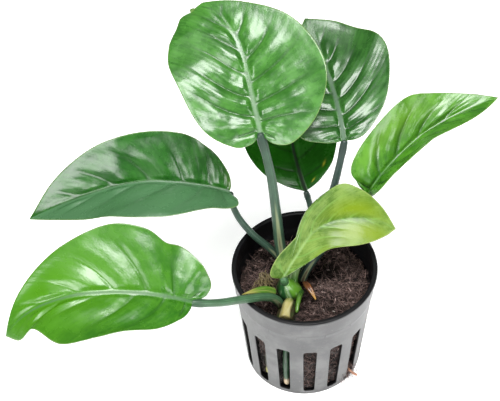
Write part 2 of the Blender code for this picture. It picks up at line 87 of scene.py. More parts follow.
tent = bpy.data.worlds.new("white_tent")
tent.use_nodes = True
tent_nodes = tent.node_tree.nodes
direction = tent_nodes.new("ShaderNodeTexCoord")
height = tent_nodes.new("ShaderNodeSeparateXYZ")
brightness = tent_nodes.new("ShaderNodeMapRange")
brightness.interpolation_type = "SMOOTHSTEP"
brightness.inputs["From Min"].default_value = TENT_CAP_FROM
brightness.inputs["From Max"].default_value = TENT_CAP_FULL
brightness.inputs["To Min"].default_value = TENT_WALLS
brightness.inputs["To Max"].default_value = TENT_CAP
tent.node_tree.links.new(direction.outputs["Generated"], height.inputs[0])
tent.node_tree.links.new(height.outputs["Z"], brightness.inputs["Value"])
tent.node_tree.links.new(brightness.outputs["Result"], tent_nodes["Background"].inputs["Strength"])
tent_nodes["Background"].inputs["Color"].default_value = (1.0, 1.0, 1.0, 1.0)
scene.world = tent


def hang_lamp(name, place, size, power):
    """A square soft lamp at a place, its face turned to the middle of the plant."""
    data = bpy.data.lights.new(name, "AREA")
    data.size = size
    data.energy = power
    lamp = bpy.data.objects.new(name, data)
    turn = (Vector(LAMP_AIM) - Vector(place)).to_track_quat("-Z", "Y").to_matrix().to_4x4()
    lamp.matrix_world = Matrix.Translation(place) @ turn
    scene.collection.objects.link(lamp)


hang_lamp("overhead_lamp", (0.04, -0.11, 0.76), 0.34, 7.0)
hang_lamp("front_lamp", (-0.64, -0.96, 0.64), 0.6, 13.0)
hang_lamp("side_lamp", (0.80, -0.85, 0.55), 0.55, 7.0)

floor_mesh = bpy.data.meshes.new("studio_floor")
half = FLOOR_SIZE / 2
floor_corners = [(-half, -half, 0), (half, -half, 0), (half, half, 0), (-half, half, 0)]
floor_mesh.from_pydata(floor_corners, [], [(0, 1, 2, 3)])
floor = bpy.data.objects.new("studio_floor", floor_mesh)
scene.collection.objects.link(floor)
floor_paint = bpy.data.materials.new("floor_paint")
floor_paint.use_nodes = True
floor_shader = floor_paint.node_tree.nodes["Principled BSDF"]
floor_shader.inputs["Base Color"].default_value = FLOOR_WHITE
floor_shader.inputs["Emission Color"].default_value = FLOOR_WHITE
floor_shader.inputs["Emission Strength"].default_value = FLOOR_GLOW
floor_shader.inputs["Roughness"].default_value = FLOOR_ROUGHNESS
floor_mesh.materials.append(floor_paint)


# ---------------------------------------------------------------- net pot
# A thin pot injection-moulded in dark recycled plastic: a tapered wall with 15
# upright slots, a plain collar that stands proud, a rolled lip and a slotted
# floor. The mould leaves it satin, and handling leaves scuffs and dust. The grey
# of its outside is painted light and sheen, its near-black inside painted shade.
pot_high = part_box("net_pot")[1]
POT_HEIGHT = pot_high.z
RIM_RADIUS = pot_high.x
LIP_WIDTH = 0.8 * MM
LIP_HEIGHT = 1.8 * MM
COLLAR_HEIGHT = 9.4 * MM
COLLAR_STEP = 0.5 * MM
BASE_RADIUS = 21.5 * MM
WALL = 1.0 * MM
FLOOR = 1.2 * MM
SLOT_COUNT = 15
SLOT_BOTTOM = 2.0 * MM
SLOT_TOP = 29.7 * MM
SLOT_TOP_WIDTH = 5.0 * MM
SLOT_BOTTOM_WIDTH = 4.0 * MM
SLOT_CORNER = 1.2 * MM
SLOT_TURN = math.radians(3.3)
SLOT_EDGE = 0.22 * MM           # rounding of the slots' edges
POT_WELD = 0.002 * MM
FLOOR_SLOT_COUNT = 5
FLOOR_SLOT_INNER = 7.0 * MM
FLOOR_SLOT_OUTER = 16.0 * MM
FLOOR_SLOT_WIDTH = 3.0 * MM
FLOOR_HUB = 3.5 * MM            # plain disc in the middle of the floor
FOOT_ROUND = 0.5 * MM
STEP_HEIGHT = POT_HEIGHT - COLLAR_HEIGHT
COLLAR_RADIUS = RIM_RADIUS - LIP_WIDTH
NECK_RADIUS = COLLAR_RADIUS - COLLAR_STEP
MOUTH_ROUND = 0.55 * MM          # rounding of the lip's and collar's corners
# The grey of the outside is painted light and sheen on the black plastic.
LIT_OUTSIDE_BELOW = (0.0490, 0.0497)  # heights between which the grey outside gives way to the black lip
PLASTIC_BLACK_AND_SHADE = (0.004, 0.004, 0.0045, 1.0)
PLASTIC_LIT_GREY = (0.050, 0.051, 0.052, 1.0)
PLASTIC_WORN = (0.150, 0.150, 0.149, 1.0)
SCUFF_DARK = (0.028, 0.028, 0.028, 1.0)


def grid_faces(rows, columns, first=0):
    """Quads of a grid of points stored row by row: each cell takes its four corners."""
    index = first + np.arange(rows * columns).reshape(rows, columns)
    return np.stack([index[:-1, :-1], index[:-1, 1:], index[1:, 1:], index[1:, :-1]], axis=-1).reshape(-1, 4)


def piece_from_grids(name, grids, weld=1e-6, attributes=None):
    """One smooth mesh object from point grids (rows, columns, 3), welded where they meet."""
    points, faces, count = [], [], 0
    for grid in grids:
        rows, columns = grid.shape[:2]
        points.append(grid.reshape(-1, 3))
        faces.append(grid_faces(rows, columns, count))
        count += rows * columns
    mesh = bpy.data.meshes.new(name)
    mesh.from_pydata(np.concatenate(points).tolist(), [], np.concatenate(faces).tolist())
    for key, values in (attributes or {}).items():
        attribute = mesh.attributes.new(key, "FLOAT", "POINT")
        attribute.data.foreach_set("value", values.astype(np.float32).ravel())
    bm = bmesh.new()
    bm.from_mesh(mesh)
    bmesh.ops.remove_doubles(bm, verts=bm.verts, dist=weld)
    bm.to_mesh(mesh)
    bm.free()
    mesh.shade_smooth()
    piece = bpy.data.objects.new(name, mesh)
    scene.collection.objects.link(piece)
    return piece


def place_piece(piece, slot, material, *nodes):
    """Give a piece its material, let it ride with the plant and stand for its nodes."""
    piece.data.materials.append(material)
    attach(piece, "root")
    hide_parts(*nodes)


def around_square(end_shares, side_shares):
    """Points anticlockwise round the square -1..1, with the given spacing on its ends and sides."""
    ends, sides = np.asarray(end_shares), np.asarray(side_shares)
    low = np.stack([ends, np.full_like(ends, -1.0)], axis=-1)[:-1]
    right = np.stack([np.full_like(sides, 1.0), sides], axis=-1)[:-1]
    high = np.stack([ends[::-1], np.full_like(ends, 1.0)], axis=-1)[:-1]
    left = np.stack([np.full_like(sides, -1.0), sides[::-1]], axis=-1)
    return np.concatenate([low, right, high, left])


def slot_edge(square, width, height, corner, grow):
    """A rounded oblong: the square stretched to size, its corners pulled in to arcs, grown all round."""
    half_size = np.array([width, height]) / 2
    point = square * half_size
    core = np.clip(point, corner - half_size, half_size - corner)
    away = point - core
    away /= np.linalg.norm(away, axis=-1, keepdims=True)
    return core + away * (corner + grow)


def wall_radius(height):
    """Outer radius of the tapered wall: it grows evenly from the foot to the neck."""
    return BASE_RADIUS + (NECK_RADIUS - BASE_RADIUS) * height / STEP_HEIGHT


def turned(angle, radius, height):
    """Points at an angle from -Y towards +X, a radius and a height."""
    return np.stack([radius * np.sin(angle), -radius * np.cos(angle), height * np.ones_like(angle)], axis=-1)


def wall_cell(share, grow, depth, index):
    """Points of one slot's share of the wall, between the slot's edge (0) and the cell's border (1)."""
    middle, tall = (SLOT_TOP + SLOT_BOTTOM) / 2, SLOT_TOP - SLOT_BOTTOM
    edge = slot_edge(WALL_SQUARE, SLOT_TOP_WIDTH, tall, SLOT_CORNER, grow)
    height = middle + edge[:, 1]
    narrowing = (SLOT_BOTTOM_WIDTH + (SLOT_TOP_WIDTH - SLOT_BOTTOM_WIDTH)
                 * (height - SLOT_BOTTOM) / tall) / SLOT_TOP_WIDTH
    angle = edge[:, 0] * narrowing / wall_radius(height)
    low = FOOT_ROUND if depth < WALL / 2 else FLOOR
    border_angle = WALL_SQUARE[:, 0] * math.pi / SLOT_COUNT
    border_height = low + (STEP_HEIGHT - low) * (WALL_SQUARE[:, 1] + 1) / 2
    angle = angle + (border_angle - angle) * share
    height = height + (border_height - height) * share
    turn = SLOT_TURN + index * math.tau / SLOT_COUNT
    return turned(angle + turn, wall_radius(height) - depth, height)


def floor_cell(share, grow, height, index):
    """Points of one slot's share of the floor, between the slot's edge (0) and the cell's border (1)."""
    middle, reach = (FLOOR_SLOT_OUTER + FLOOR_SLOT_INNER) / 2, FLOOR_SLOT_OUTER - FLOOR_SLOT_INNER
    edge = slot_edge(FLOOR_SQUARE, FLOOR_SLOT_WIDTH, reach, SLOT_CORNER, grow)
    radius = middle + edge[:, 1]
    angle = edge[:, 0] / radius
    outer = BASE_RADIUS - FOOT_ROUND if height < FLOOR / 2 else wall_radius(FLOOR) - WALL
    border_angle = FLOOR_SQUARE[:, 0] * math.pi / FLOOR_SLOT_COUNT
    border_radius = FLOOR_HUB + (outer - FLOOR_HUB) * (FLOOR_SQUARE[:, 1] + 1) / 2
    angle = angle + (border_angle - angle) * share
    radius = radius + (border_radius - radius) * share
    turn = SLOT_TURN + index * math.tau / FLOOR_SLOT_COUNT
    return turned(angle + turn, radius, height)


def rounded_edge(depth):
    """Pairs (grow, depth) across a slot's edge: a quarter round, a straight land, a quarter round."""
    bend = np.linspace(0.0, math.pi / 2, 5)
    grow = SLOT_EDGE * (1 - np.sin(bend))
    down = SLOT_EDGE * (1 - np.cos(bend))
    return list(zip(grow, down)) + list(zip(grow[::-1], depth - down[::-1]))


def softened(corners, radius, steps=5):
    """A line through the corners with each inner corner turned into a quadratic curve."""
    corners = np.array(corners, float)
    t = np.linspace(0.0, 1.0, steps)[:, None]
    line = [corners[:1]]
    for before, corner, after in zip(corners[:-2], corners[1:-1], corners[2:]):
        reach = min(radius, 0.45 * np.linalg.norm(before - corner), 0.45 * np.linalg.norm(after - corner))
        start = corner + (before - corner) / np.linalg.norm(before - corner) * reach
        end = corner + (after - corner) / np.linalg.norm(after - corner) * reach
        line.append((1 - t) ** 2 * start + 2 * t * (1 - t) * corner + t**2 * end)
    return np.concatenate(line + [corners[-1:]])


WALL_COLUMNS = 12
end_shares = np.linspace(-1.0, 1.0, WALL_COLUMNS + 1)
side_middle = np.linspace(-0.9, 0.9, 15)
side_shares = np.concatenate([[-1.0, -0.985, -0.96, -0.93], side_middle, [0.93, 0.96, 0.985, 1.0]])
WALL_SQUARE = around_square(end_shares, side_shares)
FLOOR_COLUMNS = WALL_COLUMNS * SLOT_COUNT // FLOOR_SLOT_COUNT
FLOOR_SQUARE = around_square(np.linspace(-1.0, 1.0, FLOOR_COLUMNS + 1), side_shares)
spread = np.linspace(0.0, 1.0, 7) ** 1.3

pot_grids = []
for index in range(SLOT_COUNT):
    outer = np.stack([wall_cell(s, SLOT_EDGE, 0.0, index) for s in spread])
    inner = np.stack([wall_cell(s, SLOT_EDGE, WALL, index) for s in spread])
    land = np.stack([wall_cell(0.0, grow, depth, index) for grow, depth in rounded_edge(WALL)])
    pot_grids += [outer[::-1], inner, land]
for index in range(FLOOR_SLOT_COUNT):
    under = np.stack([floor_cell(s, SLOT_EDGE, 0.0, index) for s in spread])
    upper = np.stack([floor_cell(s, SLOT_EDGE, FLOOR, index) for s in spread])
    land = np.stack([floor_cell(0.0, grow, height, index) for grow, height in rounded_edge(FLOOR)])
    pot_grids += [under[::-1], upper, land]

half_cell = math.pi / SLOT_COUNT
ring = SLOT_TURN + np.linspace(-half_cell, math.tau - half_cell, WALL_COLUMNS * SLOT_COUNT + 1)
mouth = softened([
    (wall_radius(STEP_HEIGHT) - WALL, STEP_HEIGHT),
    (COLLAR_RADIUS - WALL, STEP_HEIGHT + 2 * COLLAR_STEP),
    (COLLAR_RADIUS - WALL, POT_HEIGHT),
    (RIM_RADIUS, POT_HEIGHT),
    (RIM_RADIUS, POT_HEIGHT - LIP_HEIGHT),
    (COLLAR_RADIUS, POT_HEIGHT - LIP_HEIGHT),
    (COLLAR_RADIUS - 0.2 * MM, STEP_HEIGHT + 0.45 * COLLAR_STEP),
    (wall_radius(STEP_HEIGHT), STEP_HEIGHT)], MOUTH_ROUND)
foot = softened([(wall_radius(FOOT_ROUND), FOOT_ROUND), (BASE_RADIUS, 0.0), (BASE_RADIUS - FOOT_ROUND, 0.0)],
                FOOT_ROUND)
for profile in (mouth, foot):
    pot_grids.append(np.stack([turned(ring, r, z) for r, z in profile])[:, ::-1])
for height, flip in ((0.0, -1), (FLOOR, 1)):
    hub = np.stack([turned(ring, r, height) for r in (0.0, FLOOR_HUB)])
    pot_grids.append(hub[:, ::-flip])


def add_node(tree, kind, sockets=None, **settings):
    """A shader node with its settings, and its inputs set to a value or linked to an output."""
    node = tree.nodes.new(kind)
    for name, value in settings.items():
        setattr(node, name, value)
    for key, value in (sockets or {}).items():
        if isinstance(value, bpy.types.NodeSocket):
            tree.links.new(value, node.inputs[key])
        else:
            node.inputs[key].default_value = value
    return node


def calculate(tree, operation, first, second=0.0, third=0.0):
    """One sum on numbers, as an output socket."""
    return add_node(tree, "ShaderNodeMath", {0: first, 1: second, 2: third}, operation=operation).outputs[0]


def times(tree, first, second):
    """The product of two numbers, as an output socket."""
    return calculate(tree, "MULTIPLY", first, second)


def one_minus(tree, value):
    """What a number leaves of 1, as an output socket."""
    return calculate(tree, "SUBTRACT", 1.0, value)


def blend_colors(tree, share, first, second):
    """A mix of two colours by a share, as an output socket."""
    return add_node(tree, "ShaderNodeMix", {0: share, 6: first, 7: second}, data_type="RGBA").outputs[2]


def ramp_between(tree, value, low, high):
    """0 below low, 1 above high and a smooth step between, as an output socket."""
    node = add_node(tree, "ShaderNodeMapRange", {0: value, 1: low, 2: high}, interpolation_type="SMOOTHSTEP")
    return node.outputs[0]


def own_place(tree):
    """The place on the piece, in metres, as an output socket."""
    return tree.nodes.new("ShaderNodeTexCoord").outputs["Object"]


def height_at(tree, place):
    """The height of a place, as an output socket."""
    return add_node(tree, "ShaderNodeSeparateXYZ", {0: place}).outputs["Z"]


def on_the_level(tree, place):
    """A place with its height set to 0, as an output socket."""
    node = add_node(tree, "ShaderNodeVectorMath", {0: place, 1: (1.0, 1.0, 0.0)}, operation="MULTIPLY")
    return node.outputs[0]


def noise(tree, size, detail=2.0, roughness=0.5, stretch=(1.0, 1.0, 1.0), place=None):
    """Soft noise over the piece, with lumps of about the given size in metres."""
    if place is None:
        place = own_place(tree)
    scale = tuple(s / size for s in stretch)
    mapped = add_node(tree, "ShaderNodeMapping", {"Vector": place, "Scale": scale})
    return add_node(tree, "ShaderNodeTexNoise", {"Vector": mapped.outputs[0], "Scale": 1.0, "Detail": detail,
                                                 "Roughness": roughness}).outputs["Fac"]


def new_group(name, inputs, outputs):
    """A shader node group with its named sockets, and its input and output nodes."""
    tree = bpy.data.node_groups.new(name, "ShaderNodeTree")
    kinds = {"color": "NodeSocketColor", "number": "NodeSocketFloat"}
    for key, (kind, value) in inputs.items():
        tree.interface.new_socket(key, in_out="INPUT", socket_type=kinds[kind]).default_value = value
    for key, kind in outputs.items():
        tree.interface.new_socket(key, in_out="OUTPUT", socket_type=kinds[kind])
    return tree, tree.nodes.new("NodeGroupInput").outputs, tree.nodes.new("NodeGroupOutput")


def principled(name, roughness=0.5, **plain):
    """A material with its Principled shader; plain values are set on the shader's own sockets."""
    material = bpy.data.materials.new(name)
    material.use_nodes = True
    shader = material.node_tree.nodes["Principled BSDF"]
    shader.inputs["Roughness"].default_value = roughness
    for key, value in plain.items():
        shader.inputs[key.replace("_", " ")].default_value = value
    return material, material.node_tree, shader


def use_group(tree, group, **values):
    """The group placed in a material with its own values; underscores stand for spaces."""
    node = add_node(tree, "ShaderNodeGroup", node_tree=group)
    for key, value in values.items():
        node.inputs[key.replace("_", " ")].default_value = value
    return node.outputs


def paint(tree, shader, color, relief, depth):
    """Link a colour to the shader, and a small relief as deep as depth, in metres, to its normal."""
    tree.links.new(color, shader.inputs["Base Color"])
    node = add_node(tree, "ShaderNodeBump", {"Height": relief, "Distance": depth})
    tree.links.new(node.outputs[0], shader.inputs["Normal"])


def build_soiling():
    """Dust in soft clouds and small specks, dirt splashed up from the foot, and short dark scuffs.

    A scuff is where stretched noise crosses a line. The dirt fades as height takes over from its noise.
    """
    tree, given, result = new_group(
        "soiling",
        {"Base": ("color", PLASTIC_LIT_GREY), "Worn": ("color", PLASTIC_WORN), "Scuff": ("color", SCUFF_DARK)},
        {"Color": "color", "Roughness": "number", "Height": "number"})
    place = own_place(tree)
    cloud = ramp_between(tree, noise(tree, 0.013, 4.0, 0.6, place=place), 0.40, 0.64)
    speck = ramp_between(tree, noise(tree, 0.0009, 1.0, place=place), 0.70, 0.76)
    stretched = noise(tree, 0.006, 2.0, 0.6, (0.6, 0.6, 1.7), place)
    line = calculate(tree, "ABSOLUTE", calculate(tree, "SUBTRACT", stretched, 0.53))
    scuff = one_minus(tree, ramp_between(tree, line, 0.003, 0.010))
    rare = ramp_between(tree, noise(tree, 0.009, 1.0, place=place), 0.56, 0.64)
    scuff = times(tree, scuff, rare)
    color = blend_colors(tree, times(tree, cloud, 0.75), given["Base"], given["Worn"])
    height = height_at(tree, place)
    splash = calculate(tree, "MULTIPLY_ADD", height, -75.0, noise(tree, 0.004, 4.0, 0.65, place=place))
    dirt = ramp_between(tree, splash, 0.28, 0.52)
    color = blend_colors(tree, times(tree, dirt, 0.75), color, given["Scuff"])
    color = blend_colors(tree, times(tree, speck, 0.55), color, given["Worn"])
    color = blend_colors(tree, times(tree, scuff, 0.6), color, given["Scuff"])
    grain = noise(tree, 0.0004, 2.0, place=place)
    tree.links.new(color, result.inputs["Color"])
    tree.links.new(calculate(tree, "MULTIPLY_ADD", cloud, 0.16, 0.36), result.inputs["Roughness"])
    tree.links.new(calculate(tree, "SUBTRACT", grain, scuff), result.inputs["Height"])
    return tree


SOILING = build_soiling()
pot_material, tree, shader = principled("moulded_plastic")
soiled = use_group(tree, SOILING)
place = own_place(tree)
across = add_node(tree, "ShaderNodeVectorMath", {0: on_the_level(tree, place)}, operation="NORMALIZE")
normal = tree.nodes.new("ShaderNodeNewGeometry").outputs["Normal"]
outward = add_node(tree, "ShaderNodeVectorMath", {0: across.outputs[0], 1: normal}, operation="DOT_PRODUCT")
height = height_at(tree, place)
outside = ramp_between(tree, outward.outputs["Value"], 0.10, 0.60)
# Painted light: the outside below the lip is painted grey; the inside stays near black as painted shade.
lit_outside = times(tree, outside, one_minus(tree, ramp_between(tree, height, *LIT_OUTSIDE_BELOW)))
pot_color = blend_colors(tree, lit_outside, PLASTIC_BLACK_AND_SHADE, soiled["Color"])
tree.links.new(calculate(tree, "MULTIPLY_ADD", lit_outside, 0.35, 0.15), shader.inputs["Specular IOR Level"])
tree.links.new(soiled["Roughness"], shader.inputs["Roughness"])
paint(tree, shader, pot_color, soiled["Height"], 0.03 * MM)
pot = piece_from_grids("net_pot_moulded", pot_grids, POT_WELD)
place_piece(pot, "pot_plastic", pot_material, "net_pot")


# ---------------------------------------------------------------- rock wool
# A plug of brown rock wool pressed round the roots: lumpy on top, with a mound
# at the front right and a dark hollow round the crown. It has sunk away from
# the wall behind the right slot and round the roots, and sheds loose fibres.
MEDIUM_TOP = 39.0               # mean height of its top, in millimetres
MEDIUM_BASE = 20.2              # its radius at the foot
MEDIUM_FLOOR = 1.5              # height of its underside
WOOL_GAP = 0.35                 # between its side and the pot's wall
FIBRE_REACH = 24.0              # loose fibres above the slots keep within this radius
HOLLOW_WIDTH = 8.5
# The pit is also painted dark in the wool's colour, as painted shade.
PIT = (9.5, 5.5)                # a dark pit beside the crown, in millimetres
RHIZOME_RADIUS = 3.2
RHIZOME_ROUTE = [(-7, -12, 36.5), (-5.5, -3, 36), (-4, 6, 35.5), (1, 15, 35.5)]
# Places where the side has sunk: turn from -Y to +X in degrees, height, half widths of both, depth.
SUNKEN = [(-20.7, 15, 6, 16, 5.0), (-44.7, 9, 5, 9, 2.5), (80, 12, 16, 14, 6.0), (51.3, 5, 5, 5, 2.0),
          (120, 14, 10, 12, 1.5), (200, 12, 14, 12, 1.5), (255, 20, 10, 14, 1.5)]
WOOL_DARK_AND_SHADE = (0.006, 0.004, 0.003, 1.0)
WOOL_BROWN = (0.058, 0.036, 0.029, 1.0)
WOOL_PINK = (0.33, 0.22, 0.195, 1.0)
WOOL_PALE = (0.52, 0.47, 0.42, 1.0)
STRAW = (0.30, 0.25, 0.14, 1.0)


def spline_through(points, share):
    """Points at the given shares of a smooth curve through the points, spaced by chord length."""
    points = np.asarray(points, float)
    knots = np.concatenate([[0.0], np.cumsum(np.linalg.norm(np.diff(points, axis=0), axis=1))])
    knots /= knots[-1]
    slope = np.empty_like(points)
    slope[1:-1] = (points[2:] - points[:-2]) / (knots[2:] - knots[:-2])[:, None]
    slope[0] = 2 * (points[1] - points[0]) / (knots[1] - knots[0]) - slope[1]
    slope[-1] = 2 * (points[-1] - points[-2]) / (knots[-1] - knots[-2]) - slope[-2]
    share = np.atleast_1d(np.asarray(share, float))
    cell = np.clip(np.searchsorted(knots, share, side="right") - 1, 0, len(points) - 2)
    span = (knots[cell + 1] - knots[cell])[:, None]
    t = (share - knots[cell])[:, None] / span
    return ((2 * t**3 - 3 * t**2 + 1) * points[cell] + (t**3 - 2 * t**2 + t) * span * slope[cell]
            + (3 * t**2 - 2 * t**3) * points[cell + 1] + (t**3 - t**2) * span * slope[cell + 1])


def waves(points, size, seed, count=14):
    """Smooth lumps between about -1 and 1: a sum of sine waves in seeded directions, of the given length."""
    random = np.random.default_rng(seed)
    heading = random.normal(size=(count, 3))
    heading /= np.linalg.norm(heading, axis=1)[:, None]
    length = size * random.uniform(0.7, 1.5, count)
    phase = random.uniform(0, math.tau, count)
    return np.sin(points @ (heading * math.tau / length[:, None]).T + phase).sum(axis=-1) / math.sqrt(count)


def wool_height(x, y):
    """Height of the wool's top in millimetres.

    A mound, lumps and a pit, which give way to the hollow round the rhizome by
    a bell curve of the distance from its line.
    """
    mound = 4.0 * np.exp(-(((x - 13) / 9) ** 2 + ((y + 7) / 11) ** 2))
    lumps = 0.9 * np.sin(0.42 * x + 1.0) * np.cos(0.37 * y) + 0.5 * np.sin(0.8 * y + 0.3 * x)
    line = spline_through(RHIZOME_ROUTE, np.linspace(0.0, 1.0, 25))
    distance = np.min(np.hypot(x[..., None] - line[:, 0], y[..., None] - line[:, 1]), axis=-1)
    share = np.exp(-(distance / HOLLOW_WIDTH) ** 4)
    floor = RHIZOME_ROUTE[1][2] - RHIZOME_RADIUS - MEDIUM_TOP - 1.2
    pit = 5.0 * np.exp(-((x - PIT[0]) / 6.0) ** 4 - ((y - PIT[1]) / 5.0) ** 4)
    return MEDIUM_TOP + (mound + lumps - pit) * (1 - share) + floor * share


def wool_side(angle, height):
    """Radius of the wool's side in millimetres: the pot's taper, less the sunken places and small dents."""
    radius = MEDIUM_BASE + (NECK_RADIUS - BASE_RADIUS) / STEP_HEIGHT * height
    for turn, middle, wide, tall, depth in SUNKEN:
        away = (np.degrees(angle) - turn + 180) % 360 - 180
        radius = radius - depth * np.exp(-(away / wide) ** 4 - ((height - middle) / tall) ** 4)
    points = np.stack([np.sin(angle) * 20, -np.cos(angle) * 20, height], axis=-1)
    return radius - WOOL_GAP - 0.35 * waves(points, 5.0, 3) - 0.22 * np.abs(waves(points, 1.6, 4))


around = np.linspace(0.0, math.tau, 301)
share = np.linspace(0.0, 1.0, 81)[:, None]
top_radius = wool_side(around, np.full_like(around, MEDIUM_TOP)) * share ** 0.8
top_x, top_y = top_radius * np.sin(around), -top_radius * np.cos(around)
flat = np.stack([top_x, top_y, np.zeros_like(top_x)], axis=-1)
rough = 0.85 * waves(flat, 6.0, 1) + 0.60 * waves(flat, 2.4, 2) + 0.28 * waves(flat, 1.0, 5)
top_z = wool_height(top_x, top_y) + rough * np.minimum(1.0, 4 * (1 - share ** 0.8) + 0.4)
wool_top = np.stack([top_x, top_y, top_z], axis=-1)
side_share = np.linspace(1.0, 0.0, 71)[:, None]
side_z = MEDIUM_FLOOR + (top_z[-1] - MEDIUM_FLOOR) * side_share
side_r = wool_side(np.broadcast_to(around, side_z.shape), side_z)
edge_fit = np.exp(-((side_share - 1) / 0.06) ** 2)
side_r = side_r + (np.hypot(top_x[-1], top_y[-1]) - side_r) * edge_fit
wool_flank = np.stack([side_r * np.sin(around), -side_r * np.cos(around), side_z], axis=-1)
under = wool_flank[-1] * np.array([1.0, 1.0, 0.0]) * np.linspace(1.0, 0.0, 6)[:, None, None]
under[..., 2] = MEDIUM_FLOOR


def build_fibre_color():
    """Wool colour from lumps, streaks and fine crumbs, with painted shade in the gaps between the fibres.

    Noise patches and the pit are darkened as painted shade, and the drier sides greyer and paler.
    """
    tree, given, result = new_group(
        "fibre_color",
        {"Shaded Gap": ("color", WOOL_DARK_AND_SHADE), "Fibre": ("color", WOOL_BROWN), "Light": ("color", WOOL_PINK)},
        {"Color": "color", "Height": "number"})
    place = own_place(tree)
    lump = noise(tree, 0.004, 3.0, 0.6, place=place)
    crumb = noise(tree, 0.0009, 4.0, 0.7, place=place)
    strand = noise(tree, 0.0011, 3.0, 0.7, (0.35, 1.6, 1.0), place)
    # The near-black gaps between the fibres are painted shade.
    color = blend_colors(tree, ramp_between(tree, crumb, 0.42, 0.56), given["Shaded Gap"], given["Fibre"])
    light = times(tree, ramp_between(tree, strand, 0.50, 0.66), ramp_between(tree, lump, 0.30, 0.62))
    color = blend_colors(tree, light, color, given["Light"])
    # Painted shade: soft noise patches and the pit take the dark gap colour.
    shade_patch = ramp_between(tree, noise(tree, 0.008, 3.0, 0.6, place=place), 0.44, 0.56)
    color = blend_colors(tree, times(tree, shade_patch, 0.85), color, given["Shaded Gap"])
    level, pit = on_the_level(tree, place), (PIT[0] * MM, PIT[1] * MM, 0.0)
    away = add_node(tree, "ShaderNodeVectorMath", {0: level, 1: pit}, operation="DISTANCE")
    pit_shade = one_minus(tree, ramp_between(tree, away.outputs["Value"], 0.004, 0.009))
    color = blend_colors(tree, times(tree, pit_shade, 0.85), color, given["Shaded Gap"])
    height = height_at(tree, place)
    dusty = one_minus(tree, ramp_between(tree, height, 0.031, 0.034))
    grey = add_node(tree, "ShaderNodeHueSaturation", {"Saturation": 0.35, "Value": 1.25, "Color": color})
    color = blend_colors(tree, dusty, color, grey.outputs[0])
    tree.links.new(color, result.inputs["Color"])
    tree.links.new(calculate(tree, "ADD", crumb, strand), result.inputs["Height"])
    return tree


FIBRE_COLOR = build_fibre_color()
wool_material, tree, shader = principled("rock_wool", 0.95, Specular_IOR_Level=0.15)
fibre = use_group(tree, FIBRE_COLOR)
paint(tree, shader, fibre["Color"], fibre["Height"], 0.4 * MM)
wool = piece_from_grids("rock_wool_plug", [grid[:, ::-1] * MM for grid in (wool_top, wool_flank, under)])
place_piece(wool, "rock_wool", wool_material, "growing_medium")


def strands(starts, headings, ups, length, curl, lift, radius, seed, steps=5):
    """Loose fibres, all at once: each runs along its heading, bends sideways by curl and arches by lift.

    A fibre is a three-sided tube with ends. Returns a mesh's points and faces,
    and one random tone per fibre.
    """
    random = np.random.default_rng(seed)
    count = len(starts)
    t = np.linspace(0.0, 1.0, steps)[None, :, None]
    sideways = np.cross(ups, headings)
    reach = (length * random.uniform(0.6, 1.3, count))[:, None, None]
    swing = (curl * random.normal(size=count))[:, None, None]
    arch = (lift * random.uniform(0.2, 1.4, count))[:, None, None]
    path = (starts[:, None] + reach * (headings[:, None] * t + sideways[:, None] * swing * t * t)
            + ups[:, None] * arch * 4 * t * (1 - t))
    path += 0.15 * reach * random.normal(size=(count, 3))[:, None] * np.sin(math.tau * t)
    along = np.gradient(path, axis=1)
    along /= np.linalg.norm(along, axis=2, keepdims=True) + 1e-12
    first = np.cross(along, np.array([0.31, 0.52, 0.79]))
    first /= np.linalg.norm(first, axis=2, keepdims=True) + 1e-12
    second = np.cross(along, first)
    angle = np.arange(3) * math.tau / 3
    thick = (radius * random.uniform(0.6, 1.4, count))[:, None, None, None] * (1 - 0.6 * t[..., None] ** 2)
    ring = first[:, :, None] * np.cos(angle)[:, None] + second[:, :, None] * np.sin(angle)[:, None]
    points = path[:, :, None] + ring * thick
    place = np.arange(count * steps * 3).reshape(count, steps, 3)
    after = np.roll(place, -1, axis=2)
    walls = np.stack([place[:, :-1], after[:, :-1], after[:, 1:], place[:, 1:]], axis=-1).reshape(-1, 4)
    ends = np.concatenate([place[:, 0, ::-1], place[:, -1]])
    tone_and_shade = np.repeat(random.uniform(0.0, 1.0, count), steps * 3)
    return points.reshape(-1, 3), walls, ends, tone_and_shade


def piece_from_strands(name, bundle, material, slot, node):
    """One mesh object from a bundle of strands, kept above the floor and inside the rim, with its tones."""
    points, walls, ends, tone_and_shade = bundle
    points[:, 2] = np.maximum(points[:, 2], 0.1)
    reach = np.hypot(points[:, 0], points[:, 1])
    inside = (points[:, 2] > SLOT_TOP / MM) & (reach > FIBRE_REACH)
    points[inside, :2] *= (FIBRE_REACH / reach[inside])[:, None]
    mesh = bpy.data.meshes.new(name)
    mesh.from_pydata((points * MM).tolist(), [], walls.tolist() + ends.tolist())
    mesh.attributes.new("tone_and_shade", "FLOAT", "POINT").data.foreach_set("value", tone_and_shade.astype(np.float32))
    mesh.shade_smooth()
    piece = bpy.data.objects.new(name, mesh)
    scene.collection.objects.link(piece)
    place_piece(piece, slot, material, node)


def read(tree, name):
    """A value stored on the mesh under the name, as an output socket."""
    return add_node(tree, "ShaderNodeAttribute", attribute_name=name).outputs["Fac"]


def strand_material(name, dark, light):
    """Fibres that go from dark to light by their tone, with small blotches along them."""
    material, tree, shader = principled(name, 0.8, Specular_IOR_Level=0.3)
    share = times(tree, read(tree, "tone_and_shade"), ramp_between(tree, noise(tree, 0.0015), 0.3, 0.6))
    tree.links.new(blend_colors(tree, share, dark, light), shader.inputs["Base Color"])
    return material


def random_headings(random, ups):
    """Unit headings at right angles to the given ups, turned at random."""
    heading = np.cross(ups, random.normal(size=ups.shape))
    return heading / np.linalg.norm(heading, axis=1)[:, None]


